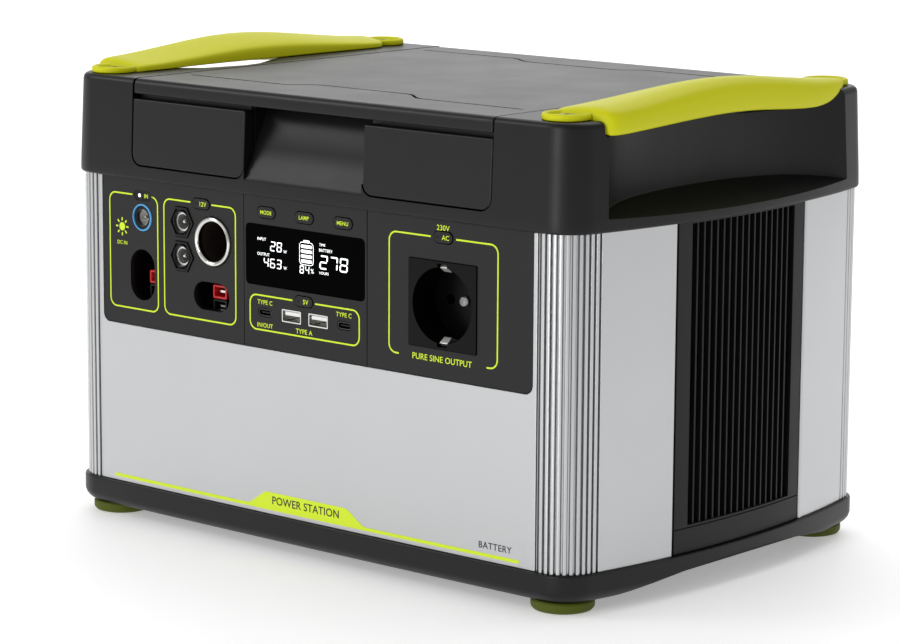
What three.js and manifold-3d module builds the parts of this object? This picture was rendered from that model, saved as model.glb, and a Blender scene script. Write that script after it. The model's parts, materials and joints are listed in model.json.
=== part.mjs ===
import * as THREE from "three";
import { mergeVertices } from "three/addons/utils/BufferGeometryUtils.js";
import Module from "manifold-3d";

const wasm = await Module();
wasm.setup();

// Driving dimensions, millimetres. Origin on the ground under the middle, front face at -Y.
const BODY_X = 191.7; // aluminium body, half width at the middle of the bowed side
const BODY_Y = 127.9; // aluminium body, half depth at the middle of the bowed front
const CORNER_X = 160.8;
const CORNER_Y = 107.6;
const CORNER_R = 18.8;
const RIM = 2.0; // base and housing stand this far proud of the aluminium
const WALL = 2.4;
const FOOT_H = 6;
const BASE_TOP = 21.3;
const ALU_BOTTOM = 21.6;
const ALU_TOP = 192.0;
const HOUSING_BOTTOM = 192.4;
const HOUSING_TOP = 247;
const RIB_EDGE_X = 157.0; // ribbed corner starts here on the front
const RIB_EDGE_Y = 105.6; // and ends here on the side
const VENT_Y = 54;
const VENT_SLOT_Y = 44;
const VENT_LOW = 36;
const VENT_HIGH = 190.8;
const PANEL_X = 153.9;
const PANEL_BOTTOM = 111.0;
const SEAM_X = 44.2;
const PANEL_T = 3;
const LID_X = 128;
const HINGE_Y = 123;
const HINGE_Z = 241;
const FACE_Y = -126.9; // outer face of the port panel

const group = new THREE.Group();
group.name = "power_station";

function paint(color, roughness, metalness) {
  return new THREE.MeshStandardMaterial({ color, roughness, metalness });
}

function add(name, geometry, color, roughness = 0.5, metalness = 0) {
  const mesh = new THREE.Mesh(geometry, paint(color, roughness, metalness));
  mesh.name = name;
  group.add(mesh);
  return mesh;
}

function toSolid(geometry) {
  const bare = geometry.clone();
  bare.deleteAttribute("normal");
  bare.deleteAttribute("uv");
  const merged = mergeVertices(bare, 1e-4);
  const vertProperties = new Float32Array(merged.attributes.position.array);
  const triVerts = new Uint32Array(merged.index.array);
  return new wasm.Manifold(new wasm.Mesh({ numProp: 3, vertProperties, triVerts }));
}

function toGeometry(solid) {
  const mesh = solid.getMesh();
  const geometry = new THREE.BufferGeometry();
  geometry.setAttribute("position", new THREE.BufferAttribute(mesh.vertProperties, 3));
  geometry.setIndex(new THREE.BufferAttribute(mesh.triVerts, 1));
  geometry.computeVertexNormals();
  return geometry;
}

function cut(base, ...tools) {
  return toGeometry(tools.reduce((solid, tool) => solid.subtract(toSolid(tool)), toSolid(base)));
}

function join(base, ...others) {
  return toGeometry(others.reduce((solid, other) => solid.add(toSolid(other)), toSolid(base)));
}

function keep(base, tool) {
  return toGeometry(toSolid(base).intersect(toSolid(tool)));
}

// Box from its low corner to its high corner.
function box(x0, y0, z0, x1, y1, z1) {
  const geometry = new THREE.BoxGeometry(x1 - x0, y1 - y0, z1 - z0);
  return geometry.translate((x0 + x1) / 2, (y0 + y1) / 2, (z0 + z1) / 2);
}

function rodX(x0, x1, y, z, radius, sides = 24) {
  const rod = new THREE.CylinderGeometry(radius, radius, x1 - x0, sides);
  return rod.rotateZ(Math.PI / 2).translate((x0 + x1) / 2, y, z);
}

function rodY(y0, y1, x, z, radius, sides = 24) {
  return new THREE.CylinderGeometry(radius, radius, y1 - y0, sides).translate(x, (y0 + y1) / 2, z);
}

function rodZ(z0, z1, x, y, radius, sides = 24, top = radius) {
  const rod = new THREE.CylinderGeometry(top, radius, z1 - z0, sides);
  return rod.rotateX(Math.PI / 2).translate(x, y, (z0 + z1) / 2);
}

// Flat outline of (x, z) corners, pushed back from y0 to y1.
function plate(shape, y0, y1, curveSegments = 3) {
  const options = { depth: y1 - y0, bevelEnabled: false, curveSegments };
  return new THREE.ExtrudeGeometry(shape, options).rotateX(Math.PI / 2).translate(0, y1, 0);
}

// Rounded rectangle in (x, z).
function roundedRect(x0, z0, x1, z1, radius) {
  const shape = new THREE.Shape();
  shape.moveTo(x0 + radius, z0);
  shape.lineTo(x1 - radius, z0);
  shape.absarc(x1 - radius, z0 + radius, radius, -Math.PI / 2, 0);
  shape.lineTo(x1, z1 - radius);
  shape.absarc(x1 - radius, z1 - radius, radius, 0, Math.PI / 2);
  shape.lineTo(x0 + radius, z1);
  shape.absarc(x0 + radius, z1 - radius, radius, Math.PI / 2, Math.PI);
  shape.lineTo(x0, z0 + radius);
  shape.absarc(x0 + radius, z0 + radius, radius, Math.PI, Math.PI * 1.5);
  return shape;
}

function pill(x, z, width, height) {
  const r = Math.min(width, height) / 2 - 0.01;
  return roundedRect(x - width / 2, z - height / 2, x + width / 2, z + height / 2, r);
}

// Radius of the long bow that runs tangent into the corner arc.
function bowRadius(reach, along) {
  return (reach * reach + along * along - CORNER_R * CORNER_R) / (2 * (reach - CORNER_R));
}
const SIDE_R = bowRadius(BODY_X - CORNER_X, CORNER_Y);
const FRONT_R = bowRadius(BODY_Y - CORNER_Y, CORNER_X);

function sideX(y) {
  return BODY_X - SIDE_R + Math.sqrt(SIDE_R * SIDE_R - y * y);
}

function frontY(x) {
  return BODY_Y - FRONT_R + Math.sqrt(FRONT_R * FRONT_R - x * x);
}

// One quarter of the body outline as { x, y, nx, ny }, from the side round to the front.
function quarter(sideSteps, arcSteps, frontSteps) {
  const points = [];
  const a0 = Math.asin(CORNER_Y / (SIDE_R - CORNER_R));
  const a1 = Math.PI / 2 - Math.asin(CORNER_X / (FRONT_R - CORNER_R));
  for (let i = 0; i < sideSteps; i += 1) {
    const a = (a0 * i) / sideSteps;
    const x = BODY_X - SIDE_R + SIDE_R * Math.cos(a);
    points.push({ x, y: SIDE_R * Math.sin(a), nx: Math.cos(a), ny: Math.sin(a) });
  }
  for (let i = 0; i <= arcSteps; i += 1) {
    const a = a0 + ((a1 - a0) * i) / arcSteps;
    const x = CORNER_X + CORNER_R * Math.cos(a);
    const y = CORNER_Y + CORNER_R * Math.sin(a);
    points.push({ x, y, nx: Math.cos(a), ny: Math.sin(a) });
  }
  for (let i = 1; i <= frontSteps; i += 1) {
    const a = a1 + ((Math.PI / 2 - a1) * i) / frontSteps;
    const y = BODY_Y - FRONT_R + FRONT_R * Math.sin(a);
    points.push({ x: FRONT_R * Math.cos(a), y, nx: Math.cos(a), ny: Math.sin(a) });
  }
  return points;
}

// Whole outline, counter-clockwise from above, grown outwards by a distance.
function outline(grow, sideSteps = 4, arcSteps = 6, frontSteps = 2) {
  const q = quarter(sideSteps, arcSteps, frontSteps);
  const flip = (p, sx, sy) => new THREE.Vector2(sx * (p.x + p.nx * grow), sy * (p.y + p.ny * grow));
  const back = [...q].reverse();
  return [
    ...q.map((p) => flip(p, 1, 1)),
    ...back.slice(1).map((p) => flip(p, -1, 1)),
    ...q.slice(1).map((p) => flip(p, -1, -1)),
    ...back.slice(1, -1).map((p) => flip(p, 1, -1)),
  ];
}

// Closed solid through outlines stacked upwards: [z, grow] pairs.
function loft(levels) {
  const rings = levels.map(([z, grow]) => outline(grow).map((p) => [p.x, p.y, z]));
  const count = rings[0].length;
  const positions = rings.flat(2);
  const index = [];
  for (let r = 0; r + 1 < rings.length; r += 1) {
    for (let i = 0; i < count; i += 1) {
      const a = r * count + i;
      const b = r * count + ((i + 1) % count);
      index.push(a, b, b + count, a, b + count, a + count);
    }
  }
  const faces = THREE.ShapeUtils.triangulateShape(outline(0), []);
  const top = (rings.length - 1) * count;
  faces.forEach(([a, b, c]) => index.push(a, c, b, top + a, top + b, top + c));
  const geometry = new THREE.BufferGeometry();
  geometry.setAttribute("position", new THREE.Float32BufferAttribute(positions, 3));
  geometry.setIndex(index);
  return geometry;
}

// Closed tube through stations of equal-length rings of [x, y, z].
function skin(rings) {
  const count = rings[0].length;
  const index = [];
  for (let r = 0; r + 1 < rings.length; r += 1) {
    for (let i = 0; i < count; i += 1) {
      const a = r * count + i;
      const b = r * count + ((i + 1) % count);
      index.push(a, b, b + count, a, b + count, a + count);
    }
  }
  const last = (rings.length - 1) * count;
  for (let i = 1; i + 1 < count; i += 1) {
    index.push(0, i + 1, i, last, last + i, last + i + 1);
  }
  const geometry = new THREE.BufferGeometry();
  geometry.setAttribute("position", new THREE.Float32BufferAttribute(rings.flat(2), 3));
  geometry.setIndex(index);
  return geometry;
}

// Plan-view polygon raised from z0 to z1.
function prism(points, z0, z1) {
  const shape = new THREE.Shape(points);
  const options = { depth: z1 - z0, bevelEnabled: false };
  return new THREE.ExtrudeGeometry(shape, options).translate(0, 0, z0);
}

const BLACK = 0x1c1c1d;
const ALU = 0xc4c5c6;
const LIME = 0xb9c81e;
const STEEL = 0xc9ccce;
const BOARD = 0x1f5a3a;

// ---- Base tray and feet -------------------------------------------------------------
function baseTray() {
  const outer = loft([[6.3, -3.2], [9.5, 1.2], [12, RIM], [BASE_TOP, RIM]]);
  const well = loft([[17.6, -WALL - 1], [BASE_TOP + 1, -WALL - 1]]);
  const arch = new THREE.CylinderGeometry(480, 480, 500, 96).rotateZ(Math.PI / 2);
  arch.translate(0, 0, 15.2 - 480);
  const middle = box(-176, -180, 0, 176, 180, 40);
  const seats = [1, -1].flatMap((sx) => [1, -1].map((sy) => rodZ(0, 8.2, sx * 160, sy * 108, 15)));
  return cut(outer, well, cut(arch, middle), ...seats);
}
add("base_tray", baseTray(), BLACK, 0.55);

function foot(sx, sy) {
  const profile = [[0, 0], [14.5, 0], [16.3, 1.6], [16.3, 5.6], [13.5, 6.0], [13.5, 7.9], [0, 7.9]];
  const lathe = new THREE.LatheGeometry(profile.map(([r, z]) => new THREE.Vector2(r, z)), 20);
  return lathe.rotateX(Math.PI / 2).translate(sx * 160, sy * 108, 0);
}
add("foot_front_left", foot(-1, -1), 0x8c9a1a, 0.8);
add("foot_front_right", foot(1, -1), 0x8c9a1a, 0.8);
add("foot_rear_left", foot(-1, 1), 0x8c9a1a, 0.8);
add("foot_rear_right", foot(1, 1), 0x8c9a1a, 0.8);

// ---- Aluminium shell ---------------------------------------------------------------
// Plan outline of one corner extrusion: side strip, eleven grooves, inner wall.
function cornerPlan(sx, sy) {
  const q = quarter(120, 18, 400).filter((p) => p.y >= VENT_Y + 0.4 && p.x >= RIB_EDGE_X);
  const outer = [];
  const lengths = [0];
  q.forEach((p, i) => {
    if (i > 0) lengths.push(lengths[i - 1] + Math.hypot(p.x - q[i - 1].x, p.y - q[i - 1].y));
  });
  const at = (s) => {
    let i = lengths.findIndex((value) => value >= s);
    if (i < 1) i = s > 0 ? q.length - 1 : 1;
    const t = (s - lengths[i - 1]) / (lengths[i] - lengths[i - 1]);
    const mix = (k) => q[i - 1][k] + (q[i][k] - q[i - 1][k]) * t;
    return { x: mix("x"), y: mix("y"), nx: mix("nx"), ny: mix("ny") };
  };
  const total = lengths[lengths.length - 1];
  const start = lengths[q.findIndex((p) => p.y >= RIB_EDGE_Y)];
  const pitch = (total - start - 1.2) / 10;
  outer.push(at(0), at(start * 0.5), at(start - 1.2));
  for (let i = 0; i < 11; i += 1) {
    const s = start + i * pitch;
    outer.push(at(s - 0.7));
    const floor = at(s);
    outer.push({ ...floor, x: floor.x - floor.nx * 1.1, y: floor.y - floor.ny * 1.1 });
    outer.push(at(Math.min(s + 0.7, total)));
    if (i < 10) outer.push(at(s + pitch / 2));
  }
  const inner = [0, 0.3, 0.6, 0.75, 0.85, 1].map((t) => at(t * total)).reverse();
  const points = outer.map((p) => new THREE.Vector2(sx * p.x, sy * p.y));
  const back = inner.map((p) => new THREE.Vector2(sx * (p.x - p.nx * 3), sy * (p.y - p.ny * 3)));
  const all = [...points, ...back];
  return sx * sy > 0 ? all : all.reverse();
}
for (const [sy, depth] of [[-1, "front"], [1, "rear"]]) {
  for (const [sx, side] of [[-1, "left"], [1, "right"]]) {
    add(`corner_${depth}_${side}`, prism(cornerPlan(sx, sy), ALU_BOTTOM, ALU_TOP), ALU, 0.4, 0.9);
  }
}

// Sheet that follows the bowed front or rear, from -x to +x.
function bowedSheet(halfX, sy, z0, z1, thickness) {
  const xs = [-1, -0.6, -0.2, 0.2, 0.6, 1].map((t) => t * halfX);
  const outer = xs.map((x) => new THREE.Vector2(x, sy * frontY(x)));
  const inner = [...xs].reverse().map((x) => new THREE.Vector2(x, sy * (frontY(x) - thickness)));
  const points = [...outer, ...inner];
  return prism(sy < 0 ? points : points.reverse(), z0, z1);
}

function portOpening() {
  return roundedRect(-PANEL_X - 0.3, PANEL_BOTTOM - 0.3, PANEL_X + 0.3, 220, 5);
}
const frontSheet = bowedSheet(RIB_EDGE_X - 0.4, -1, ALU_BOTTOM, ALU_TOP, WALL);
add("front_panel", cut(frontSheet, plate(portOpening(), -140, -110)), ALU, 0.4, 0.9);
add("rear_panel", bowedSheet(RIB_EDGE_X - 0.4, 1, ALU_BOTTOM, ALU_TOP, WALL), ALU, 0.4, 0.9);

// ---- Side vents --------------------------------------------------------------------
function ventGrille(sx) {
  const ys = [-1, -0.5, 0, 0.5, 1].map((t) => t * VENT_Y);
  const outer = ys.map((y) => new THREE.Vector2(sideX(y) - 0.3, y));
  const inner = [...ys].reverse().map((y) => new THREE.Vector2(sideX(y) - 3.3, y));
  const frame = prism([...outer, ...inner], ALU_BOTTOM, ALU_TOP);
  const pitch = (2 * VENT_SLOT_Y) / 17;
  const slots = Array.from({ length: 17 }, (_, i) => {
    const y = -VENT_SLOT_Y + (i + 0.5) * pitch;
    return box(180, y - pitch / 2 + 0.55, VENT_LOW, 200, y + pitch / 2 - 0.55, VENT_HIGH);
  });
  const grille = cut(frame, ...slots);
  return sx > 0 ? grille : grille.rotateZ(Math.PI);
}
add("vent_grille_left", ventGrille(-1), 0x161617, 0.55);
add("vent_grille_right", ventGrille(1), 0x161617, 0.55);

const FAN_Z = 112;
const FAN_R = 44;
function fanFrame(sx) {
  const x0 = sx > 0 ? 158 : -183;
  const duct = rodX(x0 - 1, x0 + 26, 0, FAN_Z, FAN_R);
  const shell = cut(box(x0, -47, FAN_Z - 47, x0 + 25, 47, FAN_Z + 47), duct);
  const mid = sx > 0 ? x0 + 2 : x0 + 23;
  const strut = box(mid - 1.5, -45, FAN_Z - 2.5, mid + 1.5, 45, FAN_Z + 2.5);
  return join(shell, strut, rodX(mid - 1.5, mid + 1.5, 0, FAN_Z, 14));
}

function fanImpeller(sx) {
  const x = sx * 172.5;
  const blades = Array.from({ length: 7 }, (_, i) => {
    const blade = new THREE.BoxGeometry(1.6, 13, 28).translate(0, 0, 27).rotateZ(0.75);
    return blade.rotateX((i * 2 * Math.PI) / 7).translate(x, 0, FAN_Z);
  });
  return join(rodX(x - 8, x + 8, 0, FAN_Z, 15), ...blades);
}
add("fan_frame_left", fanFrame(-1), 0x202122, 0.6);
add("fan_frame_right", fanFrame(1), 0x202122, 0.6);
add("fan_impeller_left", fanImpeller(-1), 0x2a2b2d, 0.5);
add("fan_impeller_right", fanImpeller(1), 0x2a2b2d, 0.5);

// ---- Port panel --------------------------------------------------------------------
const Z_BUTTON = 183.3;
const BUTTONS = {
  button_units: [-27.5, 183.7, 13.2, 6.0],
  button_light: [0, 183.7, 13.2, 6.0],
  button_info: [27.5, 183.7, 13.2, 6.0],
  button_12v: [-76.4, 183.4, 12.8, 5.6],
  button_usb: [-0.4, 139.4, 12.8, 5.6],
  button_ac: [95.7, 183.5, 12.4, 6.0],
};
const LED = [-122, Z_BUTTON, 13.0, 5.6];
const HEXES = [[-91.6, 172.1], [-91.6, 153.4]];
const CAR = [-67.4, 163.9];
const SLOT_IN = [-122.6, 139.6, 19.2, 28.2];
const SLOT_OUT = [-69.0, 133.9, 27.0, 15.4];
const USB_A = [[-9.6, 130.3], [9.6, 130.3]];
const USB_C = [[-28.7, 130.2], [28.4, 130.2]];
const AC = [95.3, 148.7];
const SCREEN = [-42.6, 144.6, 42.6, 177.0];
const back = FACE_Y + PANEL_T;

function hexagon(x, z, across) {
  const points = Array.from({ length: 6 }, (_, i) => {
    const a = (i * Math.PI) / 3;
    return new THREE.Vector2(x + across * Math.cos(a), z + across * Math.sin(a));
  });
  return new THREE.Shape(points);
}

function moduleBlank(x0, x1, leftRound, rightRound) {
  const whole = roundedRect(-PANEL_X, PANEL_BOTTOM, PANEL_X, 220, 5);
  const low = leftRound ? -200 : x0;
  const high = rightRound ? 200 : x1;
  return keep(plate(whole, FACE_Y, back), box(low, -150, 100, high, -100, ALU_TOP));
}

function hole(shape) {
  return plate(shape, FACE_Y - 5, back + 5);
}

function buttonHole([x, z, w, h]) {
  return hole(pill(x, z, w + 0.8, h + 0.8));
}

add("input_panel", cut(
  moduleBlank(-PANEL_X, -SEAM_X - 0.2, true, false),
  buttonHole(LED),
  buttonHole(BUTTONS.button_12v),
  rodY(-140, -110, -122.5, 171.3, 8.0),
  ...HEXES.map(([x, z]) => hole(hexagon(x, z, 9.6))),
  rodY(-140, -110, ...CAR, 14.0, 32),
  hole(pill(...SLOT_IN)),
  hole(pill(...SLOT_OUT)),
), 0x202021, 0.55);
add("display_panel", cut(
  moduleBlank(-SEAM_X + 0.2, SEAM_X - 0.2, false, false),
  ...["button_units", "button_light", "button_info", "button_usb"].map((n) => buttonHole(BUTTONS[n])),
  hole(roundedRect(SCREEN[0] - 0.3, SCREEN[1] - 0.3, SCREEN[2] + 0.3, SCREEN[3] + 0.3, 2.5)),
  ...USB_A.map(([x, z]) => hole(roundedRect(x - 7.4, z - 3.9, x + 7.4, z + 3.9, 0.5))),
  ...USB_C.map(([x, z]) => hole(pill(x, z, 11, 5.2))),
), 0x202021, 0.55);
add("ac_panel", cut(
  moduleBlank(SEAM_X + 0.2, PANEL_X, false, true),
  buttonHole(BUTTONS.button_ac),
  hole(roundedRect(AC[0] - 22.8, AC[1] - 22.8, AC[0] + 22.8, AC[1] + 22.8, 1)),
), 0x202021, 0.55);

const windowShape = roundedRect(...SCREEN, 2.3);
add("display_window", plate(windowShape, FACE_Y + 0.2, FACE_Y + 2.2), 0x08090a, 0.08);
const boardBlank = box(-42, -112.2, 126, 43, -110.6, 189);
add("display_board", boardBlank, BOARD, 0.6);

function button([x, z, w, h]) {
  const cap = plate(pill(x, z, w, h), FACE_Y - 0.4, back + 0.6);
  return join(cap, box(x - 2, back + 0.5, z - 2, x + 2, back + 1.2, z + 2));
}
for (const [name, spec] of Object.entries(BUTTONS)) {
  add(name, button(spec), 0x121213, 0.5);
}
add("input_led", plate(pill(...LED), FACE_Y + 0.1, back + 0.6), 0x1a1b1d, 0.3);

// Round inlet: barrel with a bore and a fixed centre pin.
function barrel(x, z, outer, bore, depth, pinR) {
  const body = cut(rodY(FACE_Y - 0.1, FACE_Y + depth, x, z, outer), rodY(-140, FACE_Y + depth - 3, x, z, bore));
  return join(body, rodY(FACE_Y + 3, FACE_Y + depth - 2, x, z, pinR, 10));
}
add("solar_port", barrel(-122.5, 171.3, 7.6, 5.6, 18, 0.8), 0x2a6fa8, 0.35);
HEXES.forEach(([x, z], i) => {
  const body = cut(plate(hexagon(x, z, 9.2), FACE_Y - 0.6, FACE_Y + 16), rodY(-140, FACE_Y + 13, x, z, 5.2));
  const port = join(body, rodY(FACE_Y + 3, FACE_Y + 14, x, z, 1.1, 10));
  add(i === 0 ? "hex_port_upper" : "hex_port_lower", port, 0x161617, 0.4);
});
const cup = cut(rodY(FACE_Y + 2.2, FACE_Y + 44, ...CAR, 13.4, 32), rodY(-140, FACE_Y + 41, ...CAR, 10.9, 32));
add("car_socket", cup, 0x2b2723, 0.45);
const ring = cut(rodY(FACE_Y - 1.4, FACE_Y + 1.9, ...CAR, 13.4, 32), rodY(-140, -110, ...CAR, 10.9, 32));
add("car_socket_ring", ring, STEEL, 0.2, 1);

// Two-bay power connector lying in its recess.
function powerConnector(x, z, w, h) {
  const shell = box(x - w / 2, FACE_Y + 6, z - h / 2, x + w / 2, FACE_Y + 26, z + h / 2);
  const bayW = (w - 3) / 2;
  const bays = [-1, 1].map((s) => {
    const cx = x + s * (bayW / 2 + 0.5);
    return box(cx - bayW / 2, FACE_Y, z - h / 2 + 1, cx + bayW / 2, FACE_Y + 20, z + h / 2 - 1);
  });
  return cut(shell, ...bays);
}
const redIn = powerConnector(0, 0, 24, 10).rotateY(Math.PI / 2).translate(SLOT_IN[0] + 3, 0, SLOT_IN[1]);
add("high_power_input", redIn, 0xb01818, 0.45);
add("high_power_output", powerConnector(SLOT_OUT[0] + 2, SLOT_OUT[1], 22, 11), 0xb01818, 0.45);

USB_A.forEach(([x, z], i) => {
  const shell = box(x - 7, FACE_Y + 0.2, z - 3.5, x + 7, FACE_Y + 14, z + 3.5);
  const mouth = box(x - 6.2, -140, z - 2.7, x + 6.2, FACE_Y + 12, z + 2.7);
  const tongue = box(x - 5.2, FACE_Y + 1.5, z - 0.2, x + 5.2, FACE_Y + 13, z + 1.6);
  add(i === 0 ? "usb_a_left" : "usb_a_right", join(cut(shell, mouth), tongue), STEEL, 0.3, 1);
});
USB_C.forEach(([x, z], i) => {
  const shell = plate(pill(x, z, 10.2, 4.4), FACE_Y + 0.2, FACE_Y + 9);
  const mouth = plate(pill(x, z, 8.6, 2.8), -140, FACE_Y + 7);
  const tongue = box(x - 3.2, FACE_Y + 1, z - 0.35, x + 3.2, FACE_Y + 8, z + 0.35);
  add(i === 0 ? "usb_c_left" : "usb_c_right", join(cut(shell, mouth), tongue), 0x3c3d3f, 0.35, 1);
});

// Earthed outlet: square insert, round well, two pin bores and a notch for each earth clip.
function acInsert() {
  const [x, z] = AC;
  const body = box(x - 22.5, FACE_Y - 0.4, z - 22.5, x + 22.5, FACE_Y + 28, z + 22.5);
  const well = rodY(-140, FACE_Y + 17.5, x, z, 19.5, 40);
  const pins = [-9.5, 9.5].map((dx) => rodY(-140, FACE_Y + 26, x + dx, z, 2.5, 12));
  const notches = [1, -1].map((s) => {
    const low = s > 0 ? z + 16.5 : z - 21.7;
    return box(x - 3.3, -140, low, x + 3.3, FACE_Y + 17.5, low + 5.2);
  });
  return cut(body, well, ...pins, ...notches);
}
add("ac_socket", acInsert(), 0x141415, 0.4);
function earthClip(s) {
  const [x, z] = AC;
  const strip = box(x - 2.6, FACE_Y + 1.5, -0.6, x + 2.6, FACE_Y + 17.2, 0.6);
  const bump = rodX(x - 2.6, x + 2.6, FACE_Y + 8, -0.9, 1.9, 12);
  return join(strip, bump).rotateY(s > 0 ? 0 : Math.PI).translate(s > 0 ? 0 : 2 * x, 0, z + s * 20.2);
}
add("earth_clip_upper", earthClip(1), STEEL, 0.25, 1);
add("earth_clip_lower", earthClip(-1), STEEL, 0.25, 1);

// ---- Top housing -------------------------------------------------------------------
// Hand recess outside |x| = 157, under the handle, between the towers, over a sloping ledge.
function handRecess(sx) {
  const wall = [[215, -116], [192, -107], [184, -102.5], [170, -86], [160.5, -54], [157, -14], [157, 14]];
  const far = [[160.5, 54], [170, 86], [184, 102.5], [192, 107], [215, 116]];
  const points = [...wall, ...far].map(([x, y]) => new THREE.Vector2(x, y));
  const room = [[150, 204.8], [157, 203.8], [192.5, 197.2], [240, 188.4], [240, 300], [150, 300]];
  const above = plate(new THREE.Shape(room.map(([x, z]) => new THREE.Vector2(x, z))), -118, 118);
  const recess = keep(prism(points.reverse(), 180, 300), above);
  return sx > 0 ? recess : recess.rotateZ(Math.PI);
}

// Clearance round the hanging outer half of the grip; its ends curve up with the grip.
function gripPocket(sx) {
  const side = [[-105.4, 300], [-105.4, 238], [-102, 237], [0, 237], [73, 237], [80, 237.8], [87, 240.2],
    [93, 243.8], [98, 247], [98, 300]];
  const shape = new THREE.Shape(side.map(([y, z]) => new THREE.Vector2(y, z)));
  const near = [[220, -112], [158, -112], [158, 112], [220, 112]];
  const above = new THREE.ExtrudeGeometry(shape, { depth: 80, bevelEnabled: false });
  above.applyMatrix4(new THREE.Matrix4().set(0, 0, 1, 145, 1, 0, 0, 0, 0, 1, 0, 0, 0, 0, 0, 1));
  const plan = prism(near.map(([x, y]) => new THREE.Vector2(x, y)).reverse(), 230, 300);
  const pocket = keep(plan, above);
  return sx > 0 ? pocket : mirrorX(pocket);
}

// The same solid on the other side of the middle plane, still facing outwards.
function mirrorX(geometry) {
  const flipped = geometry.clone().applyMatrix4(new THREE.Matrix4().makeScale(-1, 1, 1));
  const index = flipped.index;
  for (let i = 0; i < index.count; i += 3) {
    const a = index.getX(i);
    index.setX(i, index.getX(i + 2));
    index.setX(i + 2, a);
  }
  return flipped;
}

function fingerRamp() {
  const side = new THREE.Shape([[-150, 199.6], [-129.6, 199.6], [-110, 238.8], [-110, 260], [-150, 260]]
    .map(([y, z]) => new THREE.Vector2(y, z)));
  const options = { depth: 84, bevelEnabled: false };
  const wedge = new THREE.ExtrudeGeometry(side, options);
  wedge.applyMatrix4(new THREE.Matrix4().set(0, 0, 1, -42, 1, 0, 0, 0, 0, 1, 0, 0, 0, 0, 0, 1));
  return wedge;
}

function topHousing() {
  const body = loft([
    [HOUSING_BOTTOM, RIM], [199, RIM - 0.1], [243.6, 0], [245.8, -1.2], [HOUSING_TOP, -3.6],
  ]);
  const tools = [1, -1].flatMap((sx) => [handRecess(sx), gripPocket(sx)]);
  const mouth = LID_X + 0.5;
  tools.push(box(-mouth, -150, 238.6, mouth, HINGE_Y + 0.2, 300));
  tools.push(box(-mouth, -150, 199.6, -42, -120.5, 300), box(42, -150, 199.6, mouth, -120.5, 300));
  tools.push(fingerRamp());
  tools.push(rodX(-mouth, mouth, HINGE_Y, HINGE_Z, 6.6, 32));
  tools.push(box(-mouth, HINGE_Y, HINGE_Z, mouth, 150, 300));
  tools.push(box(-118, -104, 160, 118, 112, 300));
  tools.push(box(-152, -100, 150, -124, 100, 232), box(124, -100, 150, 152, 100, 232));
  tools.push(rodX(-140, 140, HINGE_Y, HINGE_Z, 1.8, 16));
  for (const sx of [1, -1]) {
    for (const sy of [1, -1]) tools.push(rodZ(238, 260, sx * 159.5, sy * 110, 2.6, 12));
  }
  return cut(body, ...tools);
}
add("top_housing", topHousing(), BLACK, 0.5);

// ---- Lid: plate, front lip, two hanging blocks and the hinge barrel -------------------
function lidGeometry() {
  const top = box(-LID_X, -126.0, 239.2, LID_X, HINGE_Y, 247);
  const lip = box(-LID_X, -126.9, 240, LID_X, -122, 245.6);
  const hollow = box(-114, -100, 230, 114, 108, 243.6);
  const blocks = [-1, 1].map((s) => {
    const x0 = s < 0 ? -LID_X : 42.6;
    const x1 = s < 0 ? -42.6 : LID_X;
    const shape = roundedRect(x0, 200.2, x1, 235.6, 7);
    return plate(shape, -127.8, -121);
  });
  const necks = [-1, 1].map((s) => {
    const x0 = s < 0 ? -LID_X + 2 : 46;
    return box(x0, -125, 230, x0 + 80, -121, 241);
  });
  const barrel = rodX(-LID_X, LID_X, HINGE_Y, HINGE_Z, 6, 32);
  const bore = rodX(-LID_X - 2, LID_X + 2, HINGE_Y, HINGE_Z, 1.8, 16);
  return cut(join(cut(join(top, lip), hollow), ...blocks, ...necks, barrel), bore);
}
add("lid", lidGeometry(), 0x2b2b2d, 0.45);
add("hinge_pin", rodX(-138, 138, HINGE_Y, HINGE_Z, 1.4, 16), STEEL, 0.3, 1);

function compartmentTray() {
  const outer = box(-117.5, -103.5, 196, 117.5, 111.5, 238.2);
  return cut(outer, box(-115, -101, 198, 115, 109, 260));
}
add("compartment_tray", compartmentTray(), 0x18181a, 0.6);
function expansionModule() {
  const body = box(22, 10, 198.4, 112, 96, 230);
  const inlet = rodY(0, 22, 48, 214, 5.5);
  const screwWells = [[30, 88], [104, 88]].map(([x, y]) => rodZ(226, 240, x, y, 4, 16));
  return cut(body, inlet, rodZ(222, 240, 67, 60, 5.4, 20), ...screwWells);
}
add("expansion_module", expansionModule(), 0x252628, 0.5);
add("pair_button", rodZ(223.5, 230.6, 67, 60, 4.8, 20), LIME, 0.5);

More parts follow.
